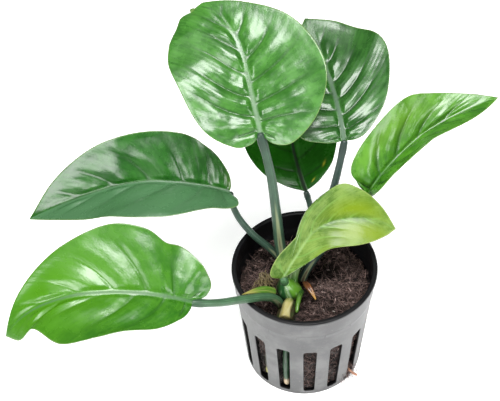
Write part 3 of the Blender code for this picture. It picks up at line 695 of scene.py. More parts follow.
fibre_material = strand_material("loose_fibres", WOOL_DARK_AND_SHADE, WOOL_PINK)
random = np.random.default_rng(11)
FIBRES_ON_TOP = 4200
FIBRE_FIELD = 22.0              # radius that they are strewn over
PIT_EDGE = 6.0                  # none lie this near to the pit
radius = FIBRE_FIELD * np.sqrt(random.uniform(0.0, 1.0, FIBRES_ON_TOP))
angle = random.uniform(0, math.tau, FIBRES_ON_TOP)
x, y = radius * np.sin(angle), -radius * np.cos(angle)
dry = np.hypot(x - PIT[0], y - PIT[1]) > PIT_EDGE
x, y = x[dry], y[dry]
starts = np.stack([x, y, wool_height(x, y) + 0.1], axis=-1)
ups = np.tile([0.0, 0.0, 1.0], (len(x), 1)) + 0.25 * random.normal(size=(len(x), 3))
ups /= np.linalg.norm(ups, axis=1)[:, None]
headings = random_headings(random, ups)
bundle = strands(starts, headings, ups, length=3.4, curl=0.8, lift=0.8, radius=0.085, seed=12)
piece_from_strands("fibres_on_top", bundle, fibre_material, "rock_wool", "growing_medium")

FIBRES_IN_SLOTS = 3600
slot_index = random.integers(0, SLOT_COUNT, FIBRES_IN_SLOTS)
angle = SLOT_TURN + slot_index * math.tau / SLOT_COUNT + random.uniform(-0.11, 0.11, FIBRES_IN_SLOTS)
height = random.uniform(2.5, 29.5, FIBRES_IN_SLOTS)
radius = wool_side(angle, height)
starts = np.stack([radius * np.sin(angle), -radius * np.cos(angle), height], axis=-1)
ups = np.stack([np.sin(angle), -np.cos(angle), np.zeros_like(angle)], axis=-1)
headings = random_headings(random, ups)
bundle = strands(starts, headings, ups, length=1.7, curl=0.6, lift=0.45, radius=0.07, seed=13)
piece_from_strands("fibres_in_slots", bundle, fibre_material, "rock_wool", "growing_medium")

# A tuft has worked out through the two slots at the right of the foot, and lies on the floor.
TUFT_FIBRES = 110
TUFT_TURN = 47.0                # degrees from -Y towards +X
turn = np.radians(random.normal(TUFT_TURN, 5.0, TUFT_FIBRES))
height = random.uniform(1.2, 8.0, TUFT_FIBRES) * random.uniform(0.4, 1.0, TUFT_FIBRES)
radius = np.full(TUFT_FIBRES, 20.0)
starts = np.stack([radius * np.sin(turn), -radius * np.cos(turn), height], axis=-1)
ups = np.tile([0.0, 0.0, 1.0], (TUFT_FIBRES, 1))
heading = np.stack([np.sin(turn), -np.cos(turn), -0.11 * height], axis=-1)
heading += 0.35 * random.normal(size=(TUFT_FIBRES, 3))
heading[:, 2] = np.clip(heading[:, 2], -0.12 * height, 0.3)
bundle = strands(starts, heading, ups, length=2.5, curl=0.6, lift=0.5, radius=0.09, seed=14)
piece_from_strands("tuft_at_foot", bundle, fibre_material, "rock_wool", "growing_medium")

# Straw-coloured strands curl out of the hollow on the left.
STRAW_FIBRES = 42
STRAW_DARK = (0.16, 0.12, 0.05, 1.0)
straw_material = strand_material("straw_strands", STRAW_DARK, STRAW)
starts = np.stack([random.normal(-13.6, 1.2, STRAW_FIBRES), random.normal(1.5, 1.6, STRAW_FIBRES),
                   random.normal(41.0, 0.5, STRAW_FIBRES)], axis=-1)
heading = np.stack([random.normal(0.0, 0.3, STRAW_FIBRES), random.normal(-0.9, 0.2, STRAW_FIBRES),
                    random.normal(0.1, 0.15, STRAW_FIBRES)], axis=-1)
ups = np.tile([-0.5, 0.0, 0.85], (STRAW_FIBRES, 1))
bundle = strands(starts, heading, ups, length=6.5, curl=0.45, lift=1.9, radius=0.15, seed=15, steps=9)
piece_from_strands("straw_strands", bundle, straw_material, "rock_wool", "growing_medium")

# Pale crumbs of bark and lime lie at the back, and a few more over the rest.
CRUMBS_AT_BACK = 22
CRUMBS_ELSEWHERE = 38
x = np.concatenate([random.normal(1.5, 2.2, CRUMBS_AT_BACK), random.uniform(-17, 18, CRUMBS_ELSEWHERE)])
y = np.concatenate([random.normal(17.5, 1.2, CRUMBS_AT_BACK), random.uniform(-16, 16, CRUMBS_ELSEWHERE)])
starts = np.stack([x, y, wool_height(x, y) + 0.5], axis=-1)
ups = np.tile([0.0, 0.0, 1.0], (len(x), 1))
crumb_material = strand_material("pale_crumbs", WOOL_PINK, WOOL_PALE)
headings = random_headings(random, ups + 0.3 * random.normal(size=ups.shape))
bundle = strands(starts, headings, ups, length=1.4, curl=0.5, lift=0.2, radius=0.30, seed=16)
piece_from_strands("pale_crumbs", bundle, crumb_material, "rock_wool", "growing_medium")


# ---------------------------------------------------------------- rhizome
# The thick creeping stem that everything grows from. It lies in the hollow,
# green-brown, ringed by the scars of old leaves and rough between them.


def carried_along(route, radius, facing, around, along, section, rounding=(1.0, 1.0)):
    """A profile carried along a smooth route, in metres, with rounded ends, and its u and v.

    At each place the ring is radius * section(angle, share), turned so that its
    angle 0 is towards facing. At the ends the ring shrinks on a quarter circle.
    """
    quarter = np.linspace(math.pi / 2, 0.0, 6)
    start_r, end_r = radius(0.0), radius(1.0)
    share = np.concatenate([np.zeros(5), np.linspace(0.0, 1.0, along), np.ones(5)])
    shrink = np.concatenate([np.cos(quarter[:-1]), np.ones(along), np.cos(quarter[::-1][1:])])
    push = np.concatenate([-np.sin(quarter[:-1]) * start_r * rounding[0], np.zeros(along),
                           np.sin(quarter[::-1][1:]) * end_r * rounding[1]])
    path = spline_through(route, share)
    step = 1e-3
    ahead = spline_through(route, np.minimum(share + step, 1.0))
    ahead -= spline_through(route, np.maximum(share - step, 0.0))
    ahead /= np.linalg.norm(ahead, axis=1)[:, None]
    path = path + ahead * push[:, None]
    right = np.cross(ahead, np.asarray(facing, float))
    right /= np.linalg.norm(right, axis=1)[:, None]
    front = np.cross(right, ahead)
    angle = np.linspace(0.0, math.tau, around + 1)
    girth = np.array([radius(s) for s in share]) * shrink
    size = girth[:, None] * section(angle[None], share[:, None])
    ring = (front[:, None] * np.cos(angle)[None, :, None] + right[:, None] * np.sin(angle)[None, :, None])
    points = (path[:, None] + ring * size[..., None]) * MM
    return points, np.broadcast_to(angle / math.tau, size.shape), np.broadcast_to(share[:, None], size.shape)


def even(start, end):
    """A radius that goes evenly from start to end."""
    return lambda share: start + (end - start) * share


def scarred(angle, share):
    """Rings of leaf scars: sharp little ridges every so often, with lumps between."""
    ridge = np.abs(np.sin(share * 22 + 0.5 * np.sin(angle))) ** 6
    return 1 + 0.09 * ridge + 0.05 * np.sin(3 * angle + 9 * share) + 0.03 * np.sin(7 * angle - 31 * share)


RHIZOME_GREEN = (0.035, 0.075, 0.012, 1.0)
RHIZOME_BROWN = (0.06, 0.045, 0.02, 1.0)
thinning = even(RHIZOME_RADIUS, 0.9 * RHIZOME_RADIUS)
points, u, v = carried_along(RHIZOME_ROUTE, thinning, (0, 0, 1), 40, 90, scarred)
bark_material, tree, shader = principled("rhizome_skin", 0.55)
patch = ramp_between(tree, noise(tree, 0.0025, 3.0), 0.4, 0.6)
color = blend_colors(tree, patch, RHIZOME_GREEN, RHIZOME_BROWN)
paint(tree, shader, color, noise(tree, 0.0006, 3.0), 0.2 * MM)
place_piece(piece_from_grids("rhizome_skin", [points]), "rhizome_bark", bark_material, "rhizome")


# ---------------------------------------------------------------- roots
# Thick smooth roots run down from the rhizome through the wool and show in the
# slots: green where light reaches them, with a pale soft growing tip. A route
# gives distances from the pot's axis and heights, its turn is from -Y to +X.
ROOTS = {
    "root_front": dict(turn=-20.7, radius=(1.2, 1.1),
                       route=[(8, 31.2), (14, 30), (19.5, 26), (20.6, 18), (20.2, 10), (19.6, 4)]),
    "root_left": dict(turn=-44.7, radius=(1.0, 0.9),
                      route=[(9, 31.2), (15, 29), (19.4, 22), (19.8, 12), (19.4, 5)]),
    "root_right": dict(turn=51.3, radius=(0.7, 0.5),
                       route=[(9, 30.8), (14, 26), (17.5, 16), (19.3, 7), (21.5, 3.6), (24.5, 3.1)]),
}
# Skin, tip, and the share of the length where the tip starts.
ROOT_COLORS = {
    "root_front": ((0.014, 0.052, 0.020, 1.0), (0.42, 0.33, 0.22, 1.0), 0.88),
    "root_left": ((0.025, 0.028, 0.012, 1.0), (0.34, 0.33, 0.10, 1.0), 0.88),
    "root_right": ((0.10, 0.055, 0.03, 1.0), (0.36, 0.18, 0.11, 1.0), 0.86),
}


def knobbly(angle, share):
    """A root's slight waists and swellings along its length."""
    return 1 + 0.05 * np.sin(share * 40) + 0.04 * np.sin(2 * angle + 17 * share)


for name, root in ROOTS.items():
    turn = math.radians(root["turn"])
    route = [(r * math.sin(turn), -r * math.cos(turn), z) for r, z in root["route"]]
    points, u, v = carried_along(route, even(*root["radius"]), (0.3, 0.95, 0.1), 20, 80, knobbly, (1.0, 1.6))
    skin, tip, tip_start = ROOT_COLORS[name]
    material, tree, shader = principled(name + "_skin", 0.4)
    streak = ramp_between(tree, noise(tree, 0.0012, 3.0, stretch=(1.0, 1.0, 0.25)), 0.4, 0.7)
    darker = (*(c * 0.5 for c in skin[:3]), 1.0)
    shaded = blend_colors(tree, streak, skin, darker)
    at_tip = ramp_between(tree, read(tree, "along"), tip_start, tip_start + 0.06)
    paint(tree, shader, blend_colors(tree, at_tip, shaded, tip), noise(tree, 0.0005, 2.0), 0.05 * MM)
    piece = piece_from_grids(name + "_skin", [points], attributes={"along": v})
    place_piece(piece, "root_skin", material, name)


# ---------------------------------------------------------------- stalks
# Each blade stands on a smooth fleshy stalk that thickens towards the rhizome
# and again just below the blade. A shallow channel runs up its front, open and
# brown-lined at the foot of the older stalks. Tone is painted shade: it goes from
# shaded dark (0) to lit green (1).
STALKS = {
    "stalk_upright": dict(
        route=[(-5.4, 5, 40.4), (-8, 7.5, 48), (-9.8, 11, 66), (-11.8, 15.5, 84), (-15, 19.9, 98.4)],
        radius=(2.15, 1.45), channel=0.26, open_to=0.62, tone_and_shade=0.25),
    "stalk_back_right": dict(
        route=[(0.4, 8, 39.2), (3.5, 9.5, 46), (7, 14, 58), (11.4, 21, 70), (14.9, 26.9, 86.4)],
        radius=(1.7, 1.2), channel=0.10, open_to=0.3, tone_and_shade=0.0),
    "stalk_back": dict(
        route=[(3, 16, 39.5), (3.6, 19, 47), (3.4, 22, 54), (1.5, 25.2, 61.2)],
        radius=(1.4, 1.0), channel=0.10, open_to=0.3, tone_and_shade=0.1),
    "stalk_right": dict(
        route=[(-0.4, 3, 39.2), (3, 5, 46), (12, 10, 55.5), (18, 14, 60.5), (23.2, 17.6, 66.4)],
        radius=(1.5, 1.1), channel=0.10, open_to=0.3, tone_and_shade=0.0),
    "stalk_middle_left": dict(
        route=[(-6.4, 9.4, 38.6), (-11, 10.5, 46), (-18.5, 13, 53), (-24, 16.5, 60), (-26.2, 18.7, 69.0)],
        radius=(1.5, 1.1), channel=0.16, open_to=0.35, tone_and_shade=0.15),
    "stalk_low_left": dict(
        route=[(-9.4, -9.0, 40), (-13, -11.4, 46.8), (-22.5, -18.4, 55), (-31, -23.5, 60),
               (-39.6, -25.8, 63.2)],
        radius=(1.6, 1.35), channel=0.16, open_to=0.2, tone_and_shade=0.55),
    "stalk_young": dict(
        route=[(-5.9, -4, 40), (-6.4, -4.6, 44), (-7.8, -5.8, 49.8)],
        radius=(1.6, 1.3), channel=0.10, open_to=0.3, tone_and_shade=0.9),
}
STALK_FRONT = (0.05, -0.85, 0.45)       # the side that the channel faces
STALK_SHADE_DARK = (0.014, 0.030, 0.024, 1.0)
STALK_GREEN = (0.042, 0.110, 0.042, 1.0)
STALK_PALE = (0.17, 0.20, 0.11, 1.0)
CHANNEL_BROWN = (0.085, 0.050, 0.032, 1.0)
STALK_NECK_SHADE = (0.008, 0.018, 0.014, 1.0)


def lined_noise(tree, axes, detail, roughness=0.5):
    """Noise in a piece's own directions, such as round it and along it, with one socket to an axis."""
    place = add_node(tree, "ShaderNodeCombineXYZ", dict(enumerate(axes))).outputs[0]
    settings = {"Vector": place, "Scale": 1.0, "Detail": detail, "Roughness": roughness}
    return add_node(tree, "ShaderNodeTexNoise", settings).outputs["Fac"]


def stalk_material(name, tone_and_shade):
    """Waxy stem skin: fine lines along it, a brown channel edged in pale green, painted shade at the neck.
    """
    material, tree, shader = principled(name + "_skin", 0.36, Specular_IOR_Level=0.4)
    channel = read(tree, "channel")
    # The body is painted shade: shaded dark at tone 0, lit green at 1.
    body = tuple(d + (g - d) * tone_and_shade for d, g in zip(STALK_SHADE_DARK, STALK_GREEN))
    paler = (*(c * 1.9 + 0.01 for c in body[:3]), 1.0)
    line = lined_noise(tree, [times(tree, read(tree, "around"), 26.0)], 1.0)
    blotch = ramp_between(tree, noise(tree, 0.004, 3.0), 0.2, 0.7)
    color = blend_colors(tree, times(tree, ramp_between(tree, line, 0.42, 0.62), blotch), body, paler)
    color = blend_colors(tree, ramp_between(tree, channel, 0.18, 0.45), color, STALK_PALE)
    spot = ramp_between(tree, noise(tree, 0.003, 3.0, stretch=(1.0, 1.0, 0.3)), 0.35, 0.6)
    brown = times(tree, ramp_between(tree, channel, 0.55, 0.8), spot)
    color = blend_colors(tree, brown, color, CHANNEL_BROWN)
    # Painted shade just under the blade, deeper on the shaded stalks.
    neck_shade = times(tree, ramp_between(tree, read(tree, "along"), 0.86, 0.97), 0.75 * (1 - tone_and_shade))
    paint(tree, shader, blend_colors(tree, neck_shade, color, STALK_NECK_SHADE), line, 0.06 * MM)
    return material


for name, stalk in STALKS.items():
    channel, open_to = stalk["channel"], stalk["open_to"]

    def channelled(angle, share, channel=channel, open_to=open_to):
        """Round, swollen under the blade, with a channel at angle 0 that shallows as it rises."""
        depth = 0.05 + channel * np.clip(1 - share / open_to, 0.0, 1.0) ** 0.5
        away = (angle + math.pi) % math.tau - math.pi
        groove = depth * np.exp(-(away / 0.42) ** 2)
        swelling = 0.16 * np.exp(-((share - 0.95) / 0.05) ** 2) + 0.10 * np.exp(-(share / 0.08) ** 2)
        return 1 + swelling - groove + 0.012 * np.sin(5 * angle + 11 * share)

    points, u, v = carried_along(stalk["route"], even(*stalk["radius"]), STALK_FRONT, 40, 120, channelled)
    away = (u + 0.5) % 1.0 - 0.5
    opened = np.exp(-(away / 0.075) ** 2) * np.clip(1.15 - v / open_to, 0.0, 1.0)
    attributes = {"around": u, "channel": opened, "along": v}
    piece = piece_from_grids(name + "_stem", [points], attributes=attributes)
    place_piece(piece, "stem_green", stalk_material(name, stalk["tone_and_shade"]), name)


# ---------------------------------------------------------------- sheath, stump and shoots
# At the crown the young leaf's stalk comes out of a fat green sheath, a thin
# wing of sheath clings to the low stalk, an old stalk is cut to a pale stump,
# and an orange bract and a thin new shoot push out in front.


def petal(route, width, thick, facing, hollow, tip):
    """A flattened piece along a route: wide across and thin through, with its front pressed in.

    Its width swells as a sine towards the middle and narrows to the share tip at its end.
    """
    def narrowing(share):
        """Half the width: a sine bulge, times a taper that grows with the square of the share."""
        bulge = 0.75 + 0.5 * math.sin(math.pi * min(1.0, share * 0.9 + 0.12))
        return width * bulge * (1 - (1 - tip) * share ** 2)

    def flattened(angle, share):
        """An ellipse, its front side pressed in by the hollow."""
        across = np.sqrt(np.sin(angle) ** 2 + (np.cos(angle) * thick) ** 2)
        return across * (1 - hollow * np.exp(-(((angle + math.pi) % math.tau - math.pi) / 0.7) ** 2))

    return carried_along(route, narrowing, facing, 28, 50, flattened)


def grow_piece(name, shape, slot, node, skin, low, high, streaks, roughness=0.35, start=0.2, end=0.8):
    """A piece of a carried shape in soft plant skin, from one colour to another along it, with streaks."""
    material, tree, shader = principled(skin, roughness, Coat_Weight=0.2)
    run = read(tree, "along")
    line = lined_noise(tree, [times(tree, read(tree, "around"), 14.0), times(tree, run, 2.0)], 2.0)
    color = blend_colors(tree, ramp_between(tree, run, start, end), (*low, 1.0), (*high, 1.0))
    streak = times(tree, ramp_between(tree, line, 0.48, 0.66), 0.7)
    paint(tree, shader, blend_colors(tree, streak, color, (*streaks, 1.0)), line, 0.08 * MM)
    points, u, v = shape
    piece = piece_from_grids(name, [points], attributes={"around": u, "along": v})
    place_piece(piece, slot, material, node)


# The sheath is one closed wall round the stalk, swollen at its foot and pinched towards its mouth.
SHEATH_ROUTE = [(-5.6, -3.6, 40.0), (-6.2, -4.4, 43.5), (-7.3, -5.3, 48.2)]
SHEATH_RADIUS = 5.0
SHEATH_WALL = 0.5
SHEATH_ROWS = 50
SHEATH_COLUMNS = 61
LIP_ROWS = 5                    # rows of the half round between the outer and the inner skin


def sheath_skin(inset):
    """A tube wall, set in by the inset: a sine bulge, pinched by a power of its height, lower in front."""
    share = np.linspace(0.0, 1.0, SHEATH_ROWS)[:, None]
    turn = np.linspace(0.0, math.tau, SHEATH_COLUMNS)[None]
    path = spline_through(SHEATH_ROUTE, share[:, 0])
    bulge = 0.80 + 0.24 * np.sin(math.pi * (0.15 + 0.62 * share))
    radius = SHEATH_RADIUS * bulge * (1 - 0.62 * share ** 1.5) - inset
    radius = radius * (1 + 0.03 * np.cos(3 * turn + 2) + 0.015 * np.cos(8 * turn))
    dip = 1.3 * share ** 2 * np.cos(turn - 0.4)
    x = path[:, :1] + radius * np.sin(turn)
    y = path[:, 1:2] - radius * np.cos(turn)
    z = path[:, 2:3] - dip
    return np.stack([x, y, z], axis=-1) * MM


outer, inner = sheath_skin(0.0), sheath_skin(SHEATH_WALL)
lip_turn = np.linspace(0.0, math.pi, LIP_ROWS + 2)[1:-1, None, None]
mouth_middle, mouth_half = (outer[-1] + inner[-1]) / 2, (outer[-1] - inner[-1]) / 2
lip_rise = np.array([0, 0, SHEATH_WALL / 2 * MM])
lip = mouth_middle + mouth_half * np.cos(lip_turn) + lip_rise * np.sin(lip_turn)
wall = np.concatenate([outer, lip, inner[::-1], outer[:1]])
up = np.linspace(0, 1, SHEATH_ROWS)
share = np.concatenate([up, np.ones(LIP_ROWS), up[::-1], [0.0]])[:, None] * np.ones((1, SHEATH_COLUMNS))
turn = np.linspace(0.0, 1.0, SHEATH_COLUMNS)[None] * np.ones_like(share)
SHEATH_SHADED = (0.008, 0.050, 0.010, 1.0)
SHEATH_LIT = (0.070, 0.190, 0.014, 1.0)
SHEATH_STRIPE = (0.20, 0.30, 0.16, 1.0)
sheath_green, tree, shader = principled("sheath_green", 0.28, Coat_Weight=0.3)
around = read(tree, "around")
# Painted light and shade: shaded deep green on the left, a pale stripe at the front, and
# bright green on the right, where light shines through it.
past_front = ramp_between(tree, around, 0.02, 0.09)
lit_right = times(tree, past_front, one_minus(tree, ramp_between(tree, around, 0.42, 0.55)))
streak = noise(tree, 0.0014, 3.0, stretch=(1.0, 1.0, 0.25))
color = blend_colors(tree, lit_right, SHEATH_SHADED, SHEATH_LIT)
streaked = times(tree, ramp_between(tree, streak, 0.5, 0.7), 0.4)
color = blend_colors(tree, streaked, color, SHEATH_STRIPE)
wrapped = calculate(tree, "FRACT", calculate(tree, "ADD", around, 0.5))
near = calculate(tree, "ABSOLUTE", calculate(tree, "SUBTRACT", wrapped, 0.51))
stripe = one_minus(tree, ramp_between(tree, near, 0.012, 0.045))
color = blend_colors(tree, times(tree, stripe, 0.8), color, SHEATH_STRIPE)
paint(tree, shader, color, streak, 0.1 * MM)
piece = piece_from_grids("sheath_young_wall", [wall], attributes={"around": turn, "along": share})
place_piece(piece, "sheath_green", sheath_green, "sheath_young")

# A soft flap of the sheath stands up behind the young stalk, under its blade.
flap = petal([(-4.2, -2.6, 43.0), (-4.4, -2.2, 48.0), (-2.6, -0.4, 52.4), (0.6, 2.6, 56.6)], 2.0, 0.42,
             (0.3, -0.85, 0.35), hollow=0.2, tip=0.35)
grow_piece("sheath_flap", flap, "sheath_green", "sheath_young", "flap_skin",
           (0.030, 0.110, 0.012), (0.20, 0.30, 0.12), (0.30, 0.40, 0.22), start=0.1, end=0.7)

wing = petal([(-11.4, -7.9, 45.9), (-14.5, -9.9, 49.2), (-18, -12.6, 52.2), (-22.6, -16.2, 55.0)],
             1.35, 0.34, (-0.25, -0.35, 0.9), hollow=0.2, tip=0.15)
grow_piece("sheath_wing", wing, "sheath_green", "sheath_low_left", "wing_skin",
           (0.060, 0.155, 0.012), (0.26, 0.22, 0.05), (0.24, 0.26, 0.07), start=0.45, end=0.9)


def stump_section(angle, share):
    """A cut stalk: a little flattened, with soft ridges."""
    return 1 + 0.05 * np.cos(2 * angle) + 0.04 * np.sin(5 * angle) + 0.05 * np.sin(8 * share)


stump = carried_along([(-5.9, -9.4, 41.0), (-7.0, -13.5, 42.2), (-7.7, -17.3, 42.1)], even(1.75, 2.05),
                      (0, 0, 1), 32, 50, stump_section, (1.0, 0.25))
grow_piece("stump_flesh", stump, "stump_flesh", "cut_stump", "stump_skin",
           (0.10, 0.13, 0.020), (0.32, 0.28, 0.10), (0.42, 0.40, 0.22), 0.45, 0.0, 0.4)

bract = petal([(0.2, -2.2, 43.0), (1.2, -4.6, 43.9), (2.6, -7.2, 43.4), (3.7, -9.3, 42.4)], 1.05, 0.42,
              (0.2, -0.3, 0.9), hollow=0.15, tip=0.35)
grow_piece("orange_bract", bract, "bract_skin", "bract", "bract_skin",
           (0.070, 0.024, 0.008), (0.36, 0.20, 0.03), (0.20, 0.070, 0.014), 0.3, 0.5, 0.95)

shoot = carried_along([(-1.4, -5.0, 41.2), (-2.2, -9.0, 42.9), (-3.1, -13.6, 42.5)], even(1.1, 0.65),
                      (0, 0, 1), 24, 50, knobbly, (1.0, 2.5))
grow_piece("new_shoot", shoot, "shoot_green", "young_shoot", "shoot_skin",
           (0.010, 0.045, 0.005), (0.060, 0.150, 0.010), (0.07, 0.15, 0.02))


# ---------------------------------------------------------------- blades
# Seven leathery blades, heart-shaped to pointed, each grown in one piece with
# its midrib. Side veins sweep from it to the margin, and the tissue swells up
# between them in glossy quilts. The young blade is still soft, pale and smooth.
BLADE_THICKNESS = 0.7
BLADE_ROWS = 190
BLADE_COLUMNS = 56              # from the midrib to the margin
BLADE_WELD = 0.0004 * MM
MIDRIB_LEAD = 3.2               # power by which the rows start late on the midrib
ROW_BEND = 1.5                  # power by which a row sweeps forward to the margin
MIDRIB_SWAY = 0.3               # how far the blade's width turns with its midrib
CREASE_RADIUS = 0.8             # the fold along the midrib is rounded by this
MARGIN_ROUND = 0.55
BASAL_VEINS = 0.40              # share of the veins that fan out from the base
USUAL_BLADE = dict(rib=1.0, gloss=0.55, rib_fades=(0.02, 0.25), waves=[], patches=[], colors={})
LEAF_GREEN = dict(light=(0.045, 0.160, 0.020), dark=(0.014, 0.078, 0.006), vein=(0.012, 0.060, 0.006),
                  midrib=(0.110, 0.180, 0.105), margin=(0.150, 0.220, 0.060), under=(0.080, 0.155, 0.065),
                  patch=(0.110, 0.230, 0.020))
# In millimetres and degrees: midrib points; tilt of the face at base, middle and tip; vein count;
# height of the quilts; how far out they reach. A half has its width, basal lobe, place of the widest
# point, fullness of the taper, share of wedge in its base, and fold and curl at base, middle and tip.
# A wave is side, place, length, height, power. A patch is side, place along and out, sizes, strength.
BLADES = {
    "leaf_upright": dict(
        midrib=[(-15, 20, 99), (-17.5, 30, 107), (-21.5, 45, 118), (-28.5, 55, 123), (-34.5, 61, 124)],
        face=(42, 42, 36), veins=7.5, quilt=1.3, rib=0.7, rib_fades=(0.50, 0.82), reach=0.72, seed=1,
        left=dict(width=25.5, lobe=12, belly=0.5, full=4.5, wedge=0.55, blunt=0.35, fold=(12, 8, 0),
                  curl=(0, 0, -15)),
        right=dict(width=28, lobe=9, belly=0.25, full=1.9, wedge=0.2, fold=(12, 8, 0), curl=(0, 0, -15)),
        waves=[(1, 0.86, 0.035, 1.1, 1), (1, 0.93, 0.02, -0.8, 1), (1, 0.62, 0.05, 0.5, 4),
               (-1, 0.55, 0.10, 0.7, 3)],
        slot="leaf_mature"),
    "leaf_back_right": dict(
        midrib=[(14.7, 27, 87.4), (13.5, 37, 91), (11, 50, 93.5), (7, 63.5, 97.5), (2.5, 75, 102)],
        face=(38, 38, 38), veins=8, quilt=1.25, rib_fades=(0.35, 0.65), reach=0.62, seed=2,
        left=dict(width=20, lobe=2, belly=0.3, full=2.1, wedge=0.35, fold=(12, 8, 0)),
        right=dict(width=23.5, lobe=15, belly=0.56, full=2.3, wedge=0.7, fold=(12, 8, 0)),
        waves=[(-1, 0.80, 0.06, -2.2, 2), (-1, 0.68, 0.06, 1.0, 2), (-1, 0.10, 0.05, 0.8, 1)],
        colors=dict(light=(0.026, 0.110, 0.014), dark=(0.006, 0.048, 0.003), vein=(0.007, 0.042, 0.005),
                    midrib=(0.050, 0.100, 0.055)),
        slot="leaf_mature"),
    "leaf_back": dict(
        midrib=[(1.2, 26, 61.8), (-2.2, 38, 67.5), (-4.5, 50, 74.2), (-7.1, 62, 80.5), (-10, 73, 84)],
        face=(40, 40, 35), veins=7, quilt=0.15, gloss=0.22, reach=0.7, seed=3,
        left=dict(width=18, lobe=6, belly=0.4, full=2.1, wedge=0.8, fold=(15, 10, 0)),
        right=dict(width=17.5, lobe=5, belly=0.37, full=2.1, wedge=0.7, fold=(15, 10, 0)),
        patches=[(-1, 0.33, 0.45, 0.025, 0.05, 1.0), (-1, 0.45, 0.68, 0.018, 0.04, 0.8)],
        # Painted shade: darker greens and a near-black midrib, as it stands under the two blades above.
        colors=dict(light=(0.010, 0.085, 0.003), dark=(0.004, 0.050, 0.001), vein=(0.004, 0.030, 0.002),
                    midrib=(0.003, 0.010, 0.003), patch=(0.26, 0.25, 0.02), margin=(0.03, 0.08, 0.01)),
        slot="leaf_dark"),
    "leaf_right": dict(
        midrib=[(23.5, 18, 67.4), (31, 24, 76), (44.6, 34, 82.5), (62, 41, 88), (71.5, 44, 90)],
        face=(8, 8, 8), veins=7, quilt=1.4, rib=0.5, reach=0.8, seed=4,
        left=dict(width=16, lobe=1, belly=0.48, full=1.3, wedge=0.3, fold=(45, 45, 20)),
        right=dict(width=13, lobe=5, belly=0.4, full=2.2, wedge=0.7, fold=(50, 50, 25)),
        waves=[(1, 0.55, 0.06, 0.7, 2), (1, 0.75, 0.06, -0.5, 2), (-1, 0.5, 0.12, 0.6, 2)],
        patches=[(1, 0.6, 0.7, 0.2, 0.3, 0.5)],
        colors=dict(light=(0.060, 0.200, 0.012), dark=(0.020, 0.105, 0.005), midrib=(0.018, 0.080, 0.012)),
        slot="leaf_bright"),
    "leaf_middle_left": dict(
        midrib=[(-26.5, 19, 70), (-40.5, 21, 72.5), (-57.5, 22, 73), (-75, 21, 69), (-100, 17, 59.5)],
        face=(20, 20, 20), veins=7, quilt=1.0, rib=0.4, reach=0.8, seed=5,
        left=dict(width=20, lobe=19, belly=0.43, full=1.3, wedge=0.62, fold=(34, 32, 25)),
        right=dict(width=19, lobe=11, belly=0.25, full=2.7, wedge=0.75, fold=(35, 38, 20)),
        waves=[(1, 0.40, 0.05, 1.3, 3), (1, 0.52, 0.05, -1.2, 3), (1, 0.65, 0.05, 1.1, 3),
               (-1, 0.45, 0.04, 0.7, 3)],
        patches=[(-1, 0.15, 0.7, 0.12, 0.3, 0.35)],
        # Painted sheen: the near colour makes the near half paler and greyer.
        colors=dict(light=(0.014, 0.095, 0.006), dark=(0.003, 0.050, 0.001), vein=(0.004, 0.045, 0.002),
                    midrib=(0.016, 0.070, 0.018), near=(0.050, 0.130, 0.055)),
        slot="leaf_mature"),
    "leaf_low_left": dict(
        midrib=[(-40, -26, 64), (-54.5, -26, 69), (-68, -26, 70.5), (-82, -27, 70), (-96, -29, 64.5),
                (-105.5, -32, 54.5)],
        face=(20, 20, 20), veins=7, quilt=0.95, rib=0.6, reach=0.75, seed=6,
        left=dict(width=20, lobe=15, belly=0.5, full=2.2, wedge=0.8, fold=(12, 12, 5), curl=(20, 20, 0),
                  bite=(0.79, 0.09, 6.5)),
        right=dict(width=24, lobe=15, belly=0.34, full=1.4, wedge=0.4, fold=(15, 15, 5),
                   bite=(0.13, 0.05, 2.0)),
        waves=[(-1, 0.34, 0.03, 1.6, 3), (-1, 0.43, 0.04, -1.4, 3), (-1, 0.56, 0.05, 0.9, 3),
               (1, 0.5, 0.06, 1.4, 3), (1, 0.78, 0.05, 1.2, 2)],
        patches=[(-1, 0.80, 0.5, 0.22, 0.8, 0.9), (1, 0.86, 0.5, 0.2, 0.8, 0.8)],
        colors=dict(light=(0.038, 0.150, 0.006), dark=(0.012, 0.088, 0.0015), vein=(0.012, 0.075, 0.003),
                    midrib=(0.030, 0.095, 0.030), patch=(0.048, 0.175, 0.001), under=(0.16, 0.25, 0.13)),
        slot="leaf_bright"),
    "leaf_young": dict(
        midrib=[(-8, -6, 50.3), (-3, -0.5, 56.4), (4.5, 6.5, 63.2), (14, 9.2, 65.4), (24, 9, 65),
                (33, 6.5, 62)],
        face=(38, 38, 38), veins=8, quilt=0.10, rib=0.35, gloss=0.25, rib_fades=(0.45, 0.80),
        reach=0.8, seed=7,
        left=dict(width=13, lobe=6, belly=0.64, full=2.2, wedge=1.0, waist=0.35, fold=(30, 30, 5)),
        right=dict(width=11, lobe=0, belly=0.6, full=2.1, wedge=1.0, fold=(40, 20, 5)),
        waves=[(1, 0.86, 0.08, 0.7, 2)],
        patches=[(-1, 0.80, 0.75, 0.12, 0.35, 1.0), (1, 0.85, 0.55, 0.10, 0.4, 0.9),
                 (-1, 0.55, 0.85, 0.2, 0.2, 0.5)],
        colors=dict(light=(0.150, 0.235, 0.050), dark=(0.030, 0.085, 0.006), vein=(0.12, 0.24, 0.05),
                    midrib=(0.24, 0.36, 0.15), margin=(0.26, 0.32, 0.10), under=(0.22, 0.32, 0.15),
                    patch=(0.125, 0.190, 0.005)),
        slot="leaf_young"),
}


